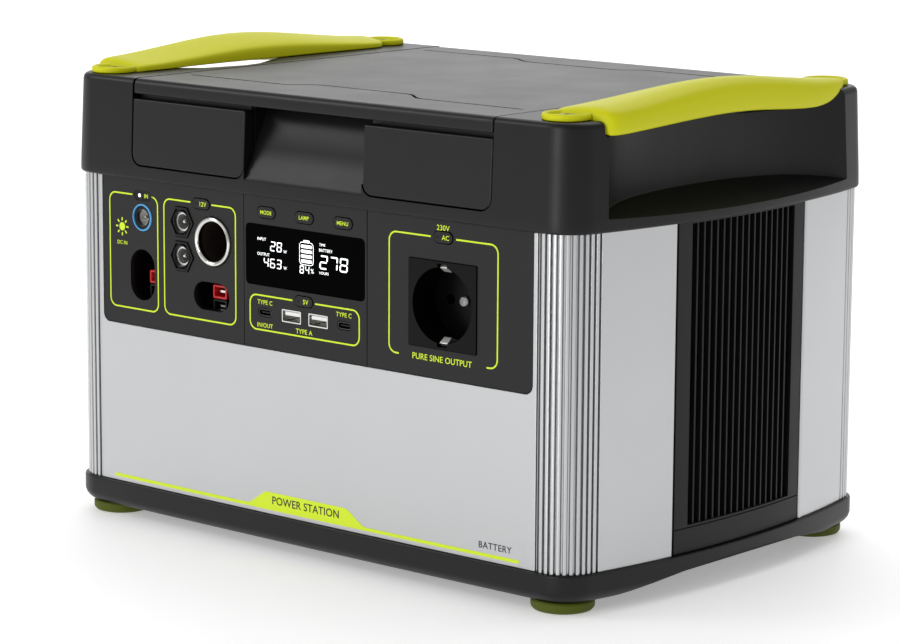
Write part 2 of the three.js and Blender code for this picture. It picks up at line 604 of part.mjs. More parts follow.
// ---- Handles -----------------------------------------------------------------------
// Stations along the grip: y, inner x, outer x, top z, inner low z, outer low z.
const GRIP = [
  [-121.5, 156, 164, 249.4, 247.4, 247.4],
  [-117, 148, 172, 250.2, 247.4, 247.4],
  [-110, 145.5, 174, 251.6, 247.4, 247.4],
  [-105, 145.6, 174.5, 252.6, 247.4, 247.4],
  [-103, 146, 180.5, 252.6, 247.4, 240.6],
  [-99, 146.4, 184, 252.6, 247.4, 239.2],
  [-88, 146.6, 184.8, 253.4, 247.4, 239.5],
  [-75, 146.6, 185, 254.9, 247.5, 240.1],
  [-57, 146.8, 185, 257.0, 248.2, 241.0],
  [-31, 147, 185, 259.6, 250.2, 242.2],
  [-8, 147.2, 185, 260.8, 251.2, 242.8],
  [14, 147.2, 185, 260.3, 250.9, 242.2],
  [34, 147, 185, 258.6, 249.8, 240.8],
  [57, 146.6, 184.6, 256.0, 248.2, 239.2],
  [74, 146.4, 183.6, 254.0, 247.5, 239.0],
  [84, 146, 181.8, 253.1, 247.4, 240.9],
  [91, 145.8, 178.6, 252.6, 247.4, 244.4],
  [97, 145.6, 174.6, 252.2, 247.4, 247.4],
  [110, 145.5, 174, 251.2, 247.4, 247.4],
  [117, 148, 172, 250.2, 247.4, 247.4],
  [121.5, 156, 164, 249.4, 247.4, 247.4],
];

function gripRing([y, xi, xo, zt, zi, zo]) {
  const w = xo - xi;
  const drop = zt - zo;
  const rise = zt - zi;
  const under = Math.max(zi, zo) + 0.06 * (zt - Math.max(zi, zo));
  return [
    [xi, y, zi], [xi, y, zi + 0.35 * rise], [xi + w * 0.08, y, zi + 0.62 * rise],
    [xi + w * 0.28, y, zt - 0.18 * rise], [xi + w * 0.52, y, zt - 0.05 * rise], [xi + w * 0.72, y, zt],
    [xi + w * 0.93, y, zt - 0.12 * drop], [xo, y, zt - 0.36 * drop], [xo, y, zo + 0.05 * drop],
    [xo - w * 0.1, y, zo], [xo - w * 0.16, y, zo + 0.07 * drop], [xi + w * 0.5, y, under],
  ];
}

function handle() {
  const wells = [-110, 110].map((y) => rodZ(249.6, 270, 159.5, y, 6, 20));
  const bores = [-110, 110].map((y) => rodZ(240, 270, 159.5, y, 2.6, 12));
  return cut(skin(GRIP.map(gripRing)), ...wells, ...bores);
}
add("handle_right", handle(), LIME, 0.5);
add("handle_left", handle(), LIME, 0.5).scale.x = -1;
function handleScrew(sx, sy) {
  const x = sx * 159.5;
  const y = sy * 110;
  const head = join(rodZ(249.9, 251.9, x, y, 4.6, 20), rodZ(239, 250, x, y, 2.2, 12));
  return cut(head, rodZ(251, 253, x, y, 1.8, 6));
}
add("handle_screw_front_left", handleScrew(-1, -1), STEEL, 0.3, 1);
add("handle_screw_front_right", handleScrew(1, -1), STEEL, 0.3, 1);
add("handle_screw_rear_left", handleScrew(-1, 1), STEEL, 0.3, 1);
add("handle_screw_rear_right", handleScrew(1, 1), STEEL, 0.3, 1);

// ---- Inside ------------------------------------------------------------------------
add("battery_pack", box(-140, -60, 17.9, 140, 104, 108), 0x2f4d78, 0.5);
add("battery_board", box(-120, -74, 20, 120, -72.4, 100), BOARD, 0.6);
add("inverter_board", box(-140, -76, 114, 140, 104, 115.6), BOARD, 0.6);
function heatSink() {
  const fins = Array.from({ length: 9 }, (_, i) => box(-110, 30 + i * 6, 122, -10, 32 + i * 6, 160));
  return join(box(-110, 30, 116, -10, 80, 122.4), ...fins);
}
add("heat_sink", heatSink(), 0xa9adb0, 0.4, 0.9);
add("transformer", cut(rodZ(116, 160, 70, 50, 38, 32), rodZ(110, 170, 70, 50, 12, 20)), 0xb0702c, 0.4, 0.4);

export default group;
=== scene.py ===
# %% [markdown]
# # A portable power station
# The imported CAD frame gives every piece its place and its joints. Each step below builds the
# finished look of some pieces in millimetres, rounds the edges a moulded or pressed part has,
# and hangs the result on the body it moves with.

# %% Load the frame
import bmesh
import bpy
import json
import math
from mathutils import Matrix, Vector

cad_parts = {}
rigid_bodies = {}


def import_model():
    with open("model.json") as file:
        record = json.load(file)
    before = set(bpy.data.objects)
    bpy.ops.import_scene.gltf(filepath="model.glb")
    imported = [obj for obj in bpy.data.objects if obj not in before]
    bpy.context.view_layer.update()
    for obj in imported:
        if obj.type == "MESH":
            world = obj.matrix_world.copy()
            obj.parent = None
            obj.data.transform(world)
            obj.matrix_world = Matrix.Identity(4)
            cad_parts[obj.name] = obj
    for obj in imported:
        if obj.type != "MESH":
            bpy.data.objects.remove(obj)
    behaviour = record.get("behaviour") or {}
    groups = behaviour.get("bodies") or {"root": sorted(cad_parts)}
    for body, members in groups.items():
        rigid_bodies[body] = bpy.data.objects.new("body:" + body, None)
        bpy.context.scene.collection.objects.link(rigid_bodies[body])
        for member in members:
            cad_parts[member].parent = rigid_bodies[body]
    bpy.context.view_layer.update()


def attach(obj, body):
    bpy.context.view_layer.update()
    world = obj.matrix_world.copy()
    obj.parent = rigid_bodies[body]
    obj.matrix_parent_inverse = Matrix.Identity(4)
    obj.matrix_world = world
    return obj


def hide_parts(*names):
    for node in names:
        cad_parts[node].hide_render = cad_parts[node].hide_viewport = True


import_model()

# %% [markdown]
# ## The dimensions that drive everything
# Origin on the ground under the middle, +X right seen from the port panel, front at -Y.

# %% Dimensions in millimetres
MM = 0.001
BODY_X, BODY_Y = 191.7, 127.9
CORNER_X, CORNER_Y, CORNER_R = 160.8, 107.6, 18.8
BASE_TOP, ALU_TOP = 21.3, 192.2
HOUSING_Z, TOP_Z = 192.4, 247.0
RIB_X, RIB_Y = 157.0, 105.6
VENT_Y, SLOT_Y, SLOT_LOW, SLOT_HIGH = 54.0, 44.0, 35.8, 191.2
PANEL_X, PANEL_LOW, SEAM_X = 153.9, 111.0, 44.2
LID_X, HINGE_Y, HINGE_Z = 128.0, 123.0, 241.0
FACE = -127.5  # middle of the port panel's bowed outer face


def bow_radius(reach, along):
    return (reach**2 + along**2 - CORNER_R**2) / (2 * (reach - CORNER_R))


SIDE_R = bow_radius(BODY_X - CORNER_X, CORNER_Y)
FRONT_R = bow_radius(BODY_Y - CORNER_Y, CORNER_X)


def side_x(y):
    return BODY_X - SIDE_R + math.sqrt(SIDE_R**2 - y * y)


def bow(x):
    return FRONT_R - math.sqrt(FRONT_R**2 - x * x)


def quarter(side, arc, front):
    """One quarter of the body outline as (x, y, nx, ny), from the side round to the front."""
    a0 = math.asin(CORNER_Y / (SIDE_R - CORNER_R))
    a1 = math.pi / 2 - math.asin(CORNER_X / (FRONT_R - CORNER_R))
    runs = [(BODY_X - SIDE_R, 0, SIDE_R, 0, a0, side), (CORNER_X, CORNER_Y, CORNER_R, a0, a1, arc),
            (0, BODY_Y - FRONT_R, FRONT_R, a1, math.pi / 2, front)]
    points = []
    for cx, cy, r, start, end, steps in runs:
        for i in range(steps):
            a = start + (end - start) * i / steps
            points.append((cx + r * math.cos(a), cy + r * math.sin(a), math.cos(a), math.sin(a)))
    return points + [(0, BODY_Y, 0, 1)]


def outline(grow, side=10, arc=14, front=8):
    """The whole outline as (x, y), counter-clockwise from above, grown outwards."""
    q = [(x + nx * grow, y + ny * grow) for x, y, nx, ny in quarter(side, arc, front)]
    back = q[::-1]
    return (q + [(-x, y) for x, y in back[1:]] + [(-x, -y) for x, y in q[1:]]
            + [(x, -y) for x, y in back[1:-1]])


print("bow radii:", round(SIDE_R), round(FRONT_R), "mm")

# %% [markdown]
# ## Mesh helpers
# Every shape is a list of vertices and faces in millimetres. `make` turns it into an object,
# `carve` cuts or joins solids, `rounded_edges` bevels, and `dress` gives the finished piece its
# material and its body and hides the CAD nodes it stands for.

# %% Building solids
def stack(rings):
    n = len(rings[0])
    faces = [tuple(range(n))[::-1], tuple((len(rings) - 1) * n + i for i in range(n))]
    for r in range(len(rings) - 1):
        for i in range(n):
            a, b = r * n + i, r * n + (i + 1) % n
            faces.append((a, b, b + n, a + n))
    return [p for ring in rings for p in ring], faces


def loft(levels):
    return stack([[(x, y, z) for x, y in outline(grow)] for z, grow in levels])


def prism(points, z0, z1):
    return stack([[(x, y, z) for x, y in points] for z in (z0, z1)])


def slab(points, y0, y1):
    """Points as (x, z), from y1 forward to y0."""
    return stack([[(x, y, z) for x, z in points] for y in (y1, y0)])


def box(x0, y0, z0, x1, y1, z1):
    return prism([(x0, y0), (x1, y0), (x1, y1), (x0, y1)], z0, z1)


def circle(x, z, r, n=40, start=0.0):
    angles = [start + 2 * math.pi * i / n for i in range(n)]
    return [(x + r * math.cos(a), z + r * math.sin(a)) for a in angles]


def rounded(x0, z0, x1, z1, r, n=8):
    corners = [(x1 - r, z0 + r, -90), (x1 - r, z1 - r, 0), (x0 + r, z1 - r, 90), (x0 + r, z0 + r, 180)]
    return [(cx + r * math.cos(math.radians(a + 90 * i / n)), cz + r * math.sin(math.radians(a + 90 * i / n)))
            for cx, cz, a in corners for i in range(n + 1)]


def pill(x, z, w, h, n=8):
    return rounded(x - w / 2, z - h / 2, x + w / 2, z + h / 2, min(w, h) / 2 - 0.01, n)


def turned(profile, n=48):
    """A closed (radius, height) profile turned about +Z; radius 0 ends are small flats."""
    angles = [2 * math.pi * i / n for i in range(n)]
    rims = [(max(r, 0.01), z) for r, z in profile]
    return stack([[(r * math.cos(a), r * math.sin(a), z) for a in angles] for r, z in rims])


def hollow(profile, n):
    """The same, with no end caps: the last rim joins the first, so the bore stays open."""
    verts, faces = turned(profile, n)
    last = (len(profile) - 1) * n
    closing = [(i, (i + 1) % n, last + (i + 1) % n, last + i) for i in range(n)]
    return verts, faces[2:] + closing


def moved(shape, x=0, y=0, z=0, turn=None):
    matrix = Matrix.Translation((x, y, z)) @ (turn or Matrix.Identity(4))
    return [tuple(matrix @ Vector(v)) for v in shape[0]], shape[1]


FORWARD = Matrix.Rotation(math.radians(90), 4, "X")  # +Z of a turned profile points at the viewer
ALONG_X = Matrix.Rotation(math.radians(90), 4, "Y")


def mirrored(shape):
    return [(-x, y, z) for x, y, z in shape[0]], [tuple(f)[::-1] for f in shape[1]]


def merged(shapes):
    verts, faces = [], []
    for v, f in shapes:
        faces += [tuple(i + len(verts) for i in face) for face in f]
        verts += v
    return verts, faces


def make(name, *shapes):
    verts, faces = merged(shapes)
    mesh = bpy.data.meshes.new(name)
    mesh.from_pydata([Vector(v) * MM for v in verts], [], faces)
    obj = bpy.data.objects.new(name, mesh)
    bpy.context.collection.objects.link(obj)
    edit(obj, lambda bm: bmesh.ops.recalc_face_normals(bm, faces=bm.faces))
    return obj


def edit(obj, work):
    bm = bmesh.new()
    bm.from_mesh(obj.data)
    work(bm)
    bm.to_mesh(obj.data)
    bm.free()
    return obj


def bake(obj):
    evaluated = obj.evaluated_get(bpy.context.evaluated_depsgraph_get())
    mesh, old = bpy.data.meshes.new_from_object(evaluated), obj.data
    obj.modifiers.clear()
    obj.data = mesh
    bpy.data.meshes.remove(old)
    return obj


def carve(obj, *tools, operation="DIFFERENCE"):
    for shape in tools:
        tool = make("tool", shape)
        cut = obj.modifiers.new("cut", "BOOLEAN")
        cut.operation, cut.object, cut.solver = operation, tool, "EXACT"
        bake(obj)
        bpy.data.objects.remove(tool)
    return obj


def rounded_edges(obj, width, segments=2, angle=30):
    bevel = obj.modifiers.new("edges", "BEVEL")
    bevel.width, bevel.segments = width * MM, segments
    bevel.limit_method, bevel.angle_limit = "ANGLE", math.radians(angle)
    bevel.use_clamp_overlap = True
    return bake(obj)


def sliced(obj, step=12.0, half=160.0):
    """Cuts a flat piece into columns, so that it can follow the bow."""
    def work(bm):
        x = -half
        while x <= half:
            geom = bm.verts[:] + bm.edges[:] + bm.faces[:]
            bmesh.ops.bisect_plane(bm, geom=geom, plane_co=(x * MM, 0, 0), plane_no=(1, 0, 0))
            x += step
    return edit(obj, work)


def bowed(obj):
    """Moves a piece built with its face at y = 0 out to the bowed front."""
    for v in obj.data.vertices:
        v.co.y += (FACE + bow(v.co.x / MM)) * MM
    return obj


def dress(obj, material, body="case", nodes=(), angle=35):
    obj.data.materials.clear()
    obj.data.materials.append(material)
    obj.data.polygons.foreach_set("use_smooth", [True] * len(obj.data.polygons))
    obj.data.set_sharp_from_angle(angle=math.radians(angle))
    normals = obj.modifiers.new("normals", "WEIGHTED_NORMAL")
    normals.keep_sharp = True
    bake(obj)
    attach(obj, body)
    if nodes:
        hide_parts(*nodes)
    return obj


# %% [markdown]
# ## Materials
# A moulded case is matt because its mould is finely textured; a metal sheet is matt because it
# was blasted. Both are the same idea here: a noise in object coordinates, sized in millimetres,
# lifts the surface a little, and a broad one lets the roughness wander. Colours are sRGB hex
# through one linearising function. Plastics start from IOR 1.5 and are lowered where the real
# part gives less sheen; metals have metallic 1 and keep the default IOR.

# %% From colour codes and grain sizes to a material
def linear(code):
    channels = [int(code[i:i + 2], 16) / 255 for i in (0, 2, 4)]
    return [c / 12.92 if c <= 0.04045 else ((c + 0.055) / 1.055) ** 2.4 for c in channels] + [1.0]


def add_node(tree, kind, values=None, links=None):
    new = tree.nodes.new(kind)
    for name, value in (values or {}).items():
        new.inputs[name].default_value = value
    for name, output in (links or {}).items():
        tree.links.new(output, new.inputs[name])
    return new


def surface(name, slot, code, rough, metallic=0.0, ior=1.5, grain=0.6, bump=0.02, spread=0.05, glow=0.0,
            stretch=(1, 1, 1)):
    """grain: pattern size in mm; bump: its height in mm; spread: how much roughness wanders."""
    material = bpy.data.materials.new(name)
    material.use_nodes = True
    material["slot"] = slot
    tree = material.node_tree
    shader = tree.nodes["Principled BSDF"]
    for key, value in {"Base Color": linear(code), "Metallic": metallic, "IOR": ior}.items():
        shader.inputs[key].default_value = value
    where = tree.nodes.new("ShaderNodeTexCoord").outputs["Object"]
    scaled = add_node(tree, "ShaderNodeVectorMath", links={0: where})
    scaled.operation = "MULTIPLY"
    scaled.inputs[1].default_value = stretch
    fine = add_node(tree, "ShaderNodeTexNoise", {"Scale": 1 / (grain * MM), "Detail": 2.0},
                    {"Vector": scaled.outputs[0]})
    broad = add_node(tree, "ShaderNodeTexNoise", {"Scale": 25.0, "Detail": 3.0}, {"Vector": where})
    relief = add_node(tree, "ShaderNodeBump", {"Strength": 1.0, "Distance": bump * MM},
                      {"Height": fine.outputs[0]})
    tree.links.new(relief.outputs["Normal"], shader.inputs["Normal"])
    wander = add_node(tree, "ShaderNodeMapRange", {"To Min": rough - spread, "To Max": rough + spread},
                      {"Value": broad.outputs[0]})
    tree.links.new(wander.outputs[0], shader.inputs["Roughness"])
    if glow:
        shader.inputs["Emission Color"].default_value = linear(code)
        shader.inputs["Emission Strength"].default_value = glow
    return material


print("one noise pattern serves every surface, from", 0.35, "to", 4, "mm grain")

# %% Black plastics
# Textured ABS: a soft sheen on the rounded edges and a nearly black face.
shell_black = surface("moulded black plastic", "black_plastic", "060607", 0.40, ior=1.38, grain=0.5,
                      bump=0.012)
lid_black = surface("lid black plastic", "lid_plastic", "080809", 0.40, ior=1.40, grain=0.5, bump=0.012)
# The port panel is coarser, so the printed lines stand out from a flat grey-black.
panel_black = surface("port panel plastic", "panel_plastic", "0d0d0e", 0.48, ior=1.40, grain=0.45,
                      bump=0.014)
# Slats and sockets are seen against their own shade and read darker than the case.
grille_black = surface("vent plastic", "grille_plastic", "090909", 0.5, ior=1.4, grain=0.5)
port_black = surface("socket plastic", "port_plastic", "050505", 0.35, ior=1.35, grain=0.8, bump=0.004)
outlet_black = surface("outlet plastic", "outlet_plastic", "030303", 0.32, ior=1.22, grain=0.8, bump=0.004)
button_black = surface("button silicone", "button_rubber", "060607", 0.35, ior=1.4, grain=0.6, bump=0.004)
fan_black = surface("fan frame plastic", "fan_plastic", "1a1a1b", 0.5)
impeller_black = surface("impeller plastic", "impeller_plastic", "262628", 0.45)

# %% Windows and lit marks
# The display window has an anti-glare coat, so it throws back almost nothing.
window_black = surface("display window", "display_glass", "000001", 0.08, ior=1.07, grain=2.0, bump=0.0,
                       spread=0.01)
led_smoke = surface("smoked window", "led_window", "060607", 0.18, ior=1.3, grain=2.0, bump=0.0, spread=0.01)
segment_white = surface("lit segments", "display_glass", "f2f4f4", 0.5, glow=1.0, grain=1.0, bump=0.0)

# %% Lime parts
# Pigmented nylon grips, flat ink, painted screw heads and the darker rubber of the feet.
lime_plastic = surface("lime moulded plastic", "lime_plastic", "cfcf00", 0.5, ior=1.33, grain=0.5, bump=0.01)
lime_print = surface("lime print", "lime_plastic", "cfe62a", 0.55, ior=1.4, grain=0.4, bump=0.002)
screw_paint = surface("painted screw head", "lime_plastic", "9a9a10", 0.4, grain=0.6, bump=0.004)
lime_rubber = surface("lime rubber", "lime_rubber", "4c5606", 0.6, ior=1.35, grain=0.6, bump=0.02)

# %% Metals
# Extruded aluminium keeps a little more shine than the blasted sheets beside it.
ribbed_alu = surface("extruded aluminium", "corner_aluminium", "c2c3c4", 0.32, 1.0, grain=0.35, bump=0.004)
sheet_alu = surface("bead-blasted aluminium", "sheet_aluminium", "c6c7c8", 0.42, 1.0, grain=0.5, bump=0.02)
# Contacts: bright nickel, the softer shine of a spring clip, and dark plating in the small sockets.
bright_steel = surface("nickel plate", "bright_steel", "d5d4d0", 0.14, 1.0, grain=1.0, bump=0.001)
spring_steel = surface("spring steel", "bright_steel", "f0efec", 0.45, 1.0, grain=1.0, bump=0.001)
dark_steel = surface("dark plated steel", "dark_steel", "4a4a4c", 0.35, 1.0, grain=1.0, bump=0.002)
screw_steel = surface("zinc-plated steel", "screw_steel", "9c9c9d", 0.35, 1.0, grain=0.5, bump=0.004)

# %% Coloured and inside parts
blue_ring = surface("blue ring moulding", "blue_plastic", "4f9ed6", 0.35, grain=0.8, bump=0.004)
red_nylon = surface("red nylon", "red_plastic", "c3141a", 0.35, grain=0.5, bump=0.01)
board_green = surface("solder mask", "circuit_board", "1e5a38", 0.4, grain=1.5, bump=0.01)
wrap_blue = surface("battery wrap", "battery_wrap", "2d4a75", 0.35, grain=4.0, bump=0.05)
winding = surface("varnished copper", "copper_winding", "a8632c", 0.3, 0.8, grain=0.8, bump=0.1,
                  stretch=(1, 1, 8))
print("materials:", len(bpy.data.materials))

# %% [markdown]
# ## Camera and studio
# A long lens stands well back at the front right, a little above the top, so the case keeps its
# parallel look. A white floor and a white backdrop glow slightly: the lid shows the backdrop at a
# flat angle and the aluminium shows the floor. The lights are four soft boxes: a large one above
# and behind, one whose reflection falls on the finger ramp, a weak one in front, and a narrow
# upright strip that draws the highlights on the ribs.

# %% Camera
camera_data = bpy.data.cameras.new("camera")
camera_data.lens, camera_data.sensor_width = 132.43, 36.0
camera_data.clip_start, camera_data.clip_end = 0.05, 50.0
camera = bpy.data.objects.new("camera", camera_data)
bpy.context.collection.objects.link(camera)
azimuth, elevation, roll = math.radians(41.03), math.radians(10.31), math.radians(0.32)
across = Vector((math.cos(azimuth), math.sin(azimuth), 0))
away = Vector((-math.sin(azimuth), math.cos(azimuth), 0))
back = Vector((-away.x * math.cos(elevation), -away.y * math.cos(elevation), math.sin(elevation)))
up = back.cross(across)
right = across * math.cos(roll) + up * math.sin(roll)
up = up * math.cos(roll) - across * math.sin(roll)
facing_back = Matrix((right, up, back)).transposed().to_4x4()
camera.matrix_world = Matrix.Translation((1.1751, -1.3620, 0.4389)) @ facing_back
bpy.context.scene.camera = camera
print("camera at", [round(v, 3) for v in camera.location])

# %% Floor, backdrop and world
def stage_sheet(name, material_name, corners, glow):
    mesh = bpy.data.meshes.new(name)
    mesh.from_pydata(corners, [], [(0, 1, 2, 3)])
    sheet = bpy.data.objects.new(name, mesh)
    bpy.context.collection.objects.link(sheet)
    mesh.materials.append(surface(material_name, "black_plastic", "f4f4f4", 0.6, grain=3.0, bump=0.0,
                                  glow=glow))


FLOOR_REACH = 6.0
BACKDROP_AWAY, BACKDROP_REACH, BACKDROP_HIGH = 3.2, 1.4, 1.5
stage_sheet("floor", "pale floor",
            [(x * FLOOR_REACH, y * FLOOR_REACH, 0) for x, y in ((-1, -1), (1, -1), (1, 1), (-1, 1))], 0.36)
stage_sheet("backdrop", "white backdrop",
            [away * BACKDROP_AWAY + across * u * BACKDROP_REACH + Vector((0, 0, v * BACKDROP_HIGH))
             for u, v in ((-1, 0), (1, 0), (1, 1), (-1, 1))], 1.0)
world = bpy.data.worlds.new("studio")
bpy.context.scene.world = world
world.use_nodes = True
world.node_tree.nodes["Background"].inputs["Color"].default_value = (1, 1, 1, 1)
world.node_tree.nodes["Background"].inputs["Strength"].default_value = 0.48

# %% Soft boxes
def softbox(name, place, target, width, height, power):
    data = bpy.data.lights.new(name, "AREA")
    data.shape, data.size, data.size_y, data.energy = "RECTANGLE", width, height, power
    light = bpy.data.objects.new(name, data)
    light.location = place
    light.rotation_euler = (Vector(target) - Vector(place)).to_track_quat("-Z", "Y").to_euler()
    bpy.context.collection.objects.link(light)


softbox("overhead", (-0.3, 0.9, 2.0), (0, 0, 0.2), 2.4, 1.6, 20)
softbox("ramp", (-1.6, -1.45, 1.3), (0, -0.1, 0.2), 0.9, 0.7, 10)
softbox("front", (-0.9, -2.2, 1.2), (0, 0, 0.12), 1.4, 1.2, 2)
softbox("strip", (0.2, -1.7, 0.3), (0.19, -0.12, 0.15), 0.08, 1.2, 9)
bpy.context.scene.view_settings.view_transform = "Standard"
print("soft boxes:", len(bpy.data.lights))

# %% [markdown]
# ## Base tray and feet
# The tray is a bowed loft with a soft lower edge, because a moulding never ends in a knife edge.
# A wide arch, cut with a very large cylinder, lifts that edge under each vent. The feet are one
# turned profile, with the groove where the rubber is pressed into the tray.

# %% Base tray and feet
base = make("base_tray_look", loft([(6.3, -3.6), (6.9, -2.2), (8.2, -0.4), (10.2, 1.2), (12.4, 2.0),
                                    (20.3, 2.0), (20.9, 1.8), (21.3, 1.2)]))
ARCH_R, ARCH_TOP = 480, 15.4
arch = turned([(ARCH_R, -240), (ARCH_R, 240)], 720)
for side in (-1, 1):
    wedge = make("wedge", moved(arch, 0, 0, ARCH_TOP - ARCH_R, ALONG_X))
    carve(wedge, box(min(side * 176, side * 260), -200, 0, max(side * 176, side * 260), 200, 60),
          operation="INTERSECT")
    cut = base.modifiers.new("arch", "BOOLEAN")
    cut.operation, cut.object, cut.solver = "DIFFERENCE", wedge, "EXACT"
    bake(base)
    bpy.data.objects.remove(wedge)
carve(base, loft([(17.6, -3.4), (22, -3.4)]))
dress(base, shell_black, nodes=["base_tray"])

FOOT_X, FOOT_Y = 160, 108
foot_profile = [(0, 0), (13.6, 0), (15.2, 0.5), (16.1, 1.6), (16.3, 2.6), (16.3, 5.0), (15.6, 5.9),
                (13.2, 6.1), (13.2, 7.8), (0, 7.8)]
for depth, sy in (("front", -1), ("rear", 1)):
    for side, sx in (("left", -1), ("right", 1)):
        foot = make(f"foot_{depth}_{side}_look", moved(turned(foot_profile, 64), sx * FOOT_X, sy * FOOT_Y))
        dress(foot, lime_rubber, nodes=[f"foot_{depth}_{side}"])
print("base and feet done")

# %% [markdown]
# ## Aluminium shell
# Each corner is one extrusion: a plain side strip, then ten round-nosed ribs between eleven
# dark grooves. The front and rear sheets follow the bow between the corners.

# %% Corner extrusions
def corner_plan():
    q = [p for p in quarter(120, 60, 400) if p[1] >= VENT_Y + 0.4 and p[0] >= RIB_X]
    length = [0.0]
    for a, b in zip(q, q[1:]):
        length.append(length[-1] + math.hypot(b[0] - a[0], b[1] - a[1]))
    total = length[-1]
    start = next(s for s, p in zip(length, q) if p[1] >= RIB_Y)
    pitch = (total - start - 1.2) / 10

    def at(s, depth=0.0):
        s = min(max(s, 0.0), total)
        i = next((k for k in range(1, len(q)) if length[k] >= s), len(q) - 1)
        t = (s - length[i - 1]) / (length[i] - length[i - 1])
        x, y, nx, ny = [u + (v - u) * t for u, v in zip(q[i - 1], q[i])]
        return x - nx * depth, y - ny * depth

    outer = [at(0, 1.2), at(0.15, 0.5), at(0.6, 0.1), at(1.2, -0.1), at(2.0, 0.0)]
    outer += [at(start * t) for t in (0.2, 0.4, 0.6, 0.8)] + [at(start - 1.4), at(start - 0.8, 0.12)]
    for i in range(11):
        s = start + i * pitch
        outer += [at(s - 0.6, 0.45), at(s - 0.4, 2.1), at(s + 0.4, 2.1), at(s + 0.6, 0.45)]
        if i < 10:
            crown = ((0.25, 0.08), (0.38, 0), (0.5, -0.03), (0.62, 0), (0.75, 0.08))
            outer += [at(s + pitch * t, d) for t, d in crown]
    inner = [at(total * t, 3.0) for t in (1, 0.9, 0.8, 0.6, 0.4, 0.2, 0)]
    return outer + [at(total, 0.6)] + inner


plan = corner_plan()
for depth, sy in (("front", -1), ("rear", 1)):
    for side, sx in (("left", -1), ("right", 1)):
        shape = prism([(sx * x, sy * y) for x, y in plan], BASE_TOP + 0.2, ALU_TOP)
        corner = make(f"corner_{depth}_{side}_look", shape)
        dress(corner, ribbed_alu, nodes=[f"corner_{depth}_{side}"], angle=40)

# %% Front and rear sheets
gap_x, gap_low = PANEL_X + 0.3, PANEL_LOW - 0.3
window = rounded(-gap_x, gap_low, gap_x, 260, 5)
opening = [(-gap_x, ALU_TOP)] + window[27:36] + window[0:9] + [(gap_x, ALU_TOP)]
edge_x = RIB_X - 0.35
sheet = [(-edge_x, ALU_TOP), (-edge_x, BASE_TOP + 0.2), (edge_x, BASE_TOP + 0.2), (edge_x, ALU_TOP)]
front = make("front_panel_look", slab(sheet + opening[::-1], -0.4, 2.0))
rounded_edges(front, 0.45, 2)
dress(bowed(sliced(front)), sheet_alu, nodes=["front_panel"])
rear = rounded_edges(make("rear_panel_look", slab(sheet, -0.4, 2.0)), 0.45)
bowed(sliced(rear))
half_turn = Matrix.Rotation(math.pi, 3, "Z")
edit(rear, lambda bm: bmesh.ops.rotate(bm, verts=bm.verts, cent=(0, 0, 0), matrix=half_turn))
dress(rear, sheet_alu, nodes=["rear_panel"])
print("shell done: ribs per corner 10")

# %% [markdown]
# ## Vent grilles
# A vent lets the fans push air through without letting fingers in: a plain black frame with
# upright slats. The slats are all alike, so one is repeated by a geometry-nodes array with its
# count and pitch as named inputs, and the row then follows the bowed side. A dark liner with a
# round hole stands behind each, so that only the fan shows through.

# %% Vents
def slat_array(slat, count, pitch, material):
    """A node tree that repeats a slat along Y; count and pitch are its named inputs."""
    tree = bpy.data.node_groups.new("slats", "GeometryNodeTree")
    face = tree.interface
    face.new_socket("Geometry", in_out="INPUT", socket_type="NodeSocketGeometry")
    number = face.new_socket("Count", in_out="INPUT", socket_type="NodeSocketInt")
    step = face.new_socket("Pitch", in_out="INPUT", socket_type="NodeSocketFloat")
    face.new_socket("Geometry", in_out="OUTPUT", socket_type="NodeSocketGeometry")
    source, result = tree.nodes.new("NodeGroupInput"), tree.nodes.new("NodeGroupOutput")
    line = tree.nodes.new("GeometryNodeMeshLine")
    offset = add_node(tree, "ShaderNodeCombineXYZ", links={"Y": source.outputs["Pitch"]})
    tree.links.new(source.outputs["Count"], line.inputs["Count"])
    tree.links.new(offset.outputs[0], line.inputs["Offset"])
    copies = add_node(tree, "GeometryNodeInstanceOnPoints", links={"Points": line.outputs[0],
                      "Instance": source.outputs["Geometry"]})
    real = add_node(tree, "GeometryNodeRealizeInstances", links={"Geometry": copies.outputs[0]})
    painted = add_node(tree, "GeometryNodeSetMaterial", {"Material": material}, {"Geometry": real.outputs[0]})
    tree.links.new(painted.outputs[0], result.inputs[0])
    repeat = slat.modifiers.new("slats", "NODES")
    repeat.node_group = tree
    repeat[number.identifier], repeat[step.identifier] = count, pitch
    return bake(slat)


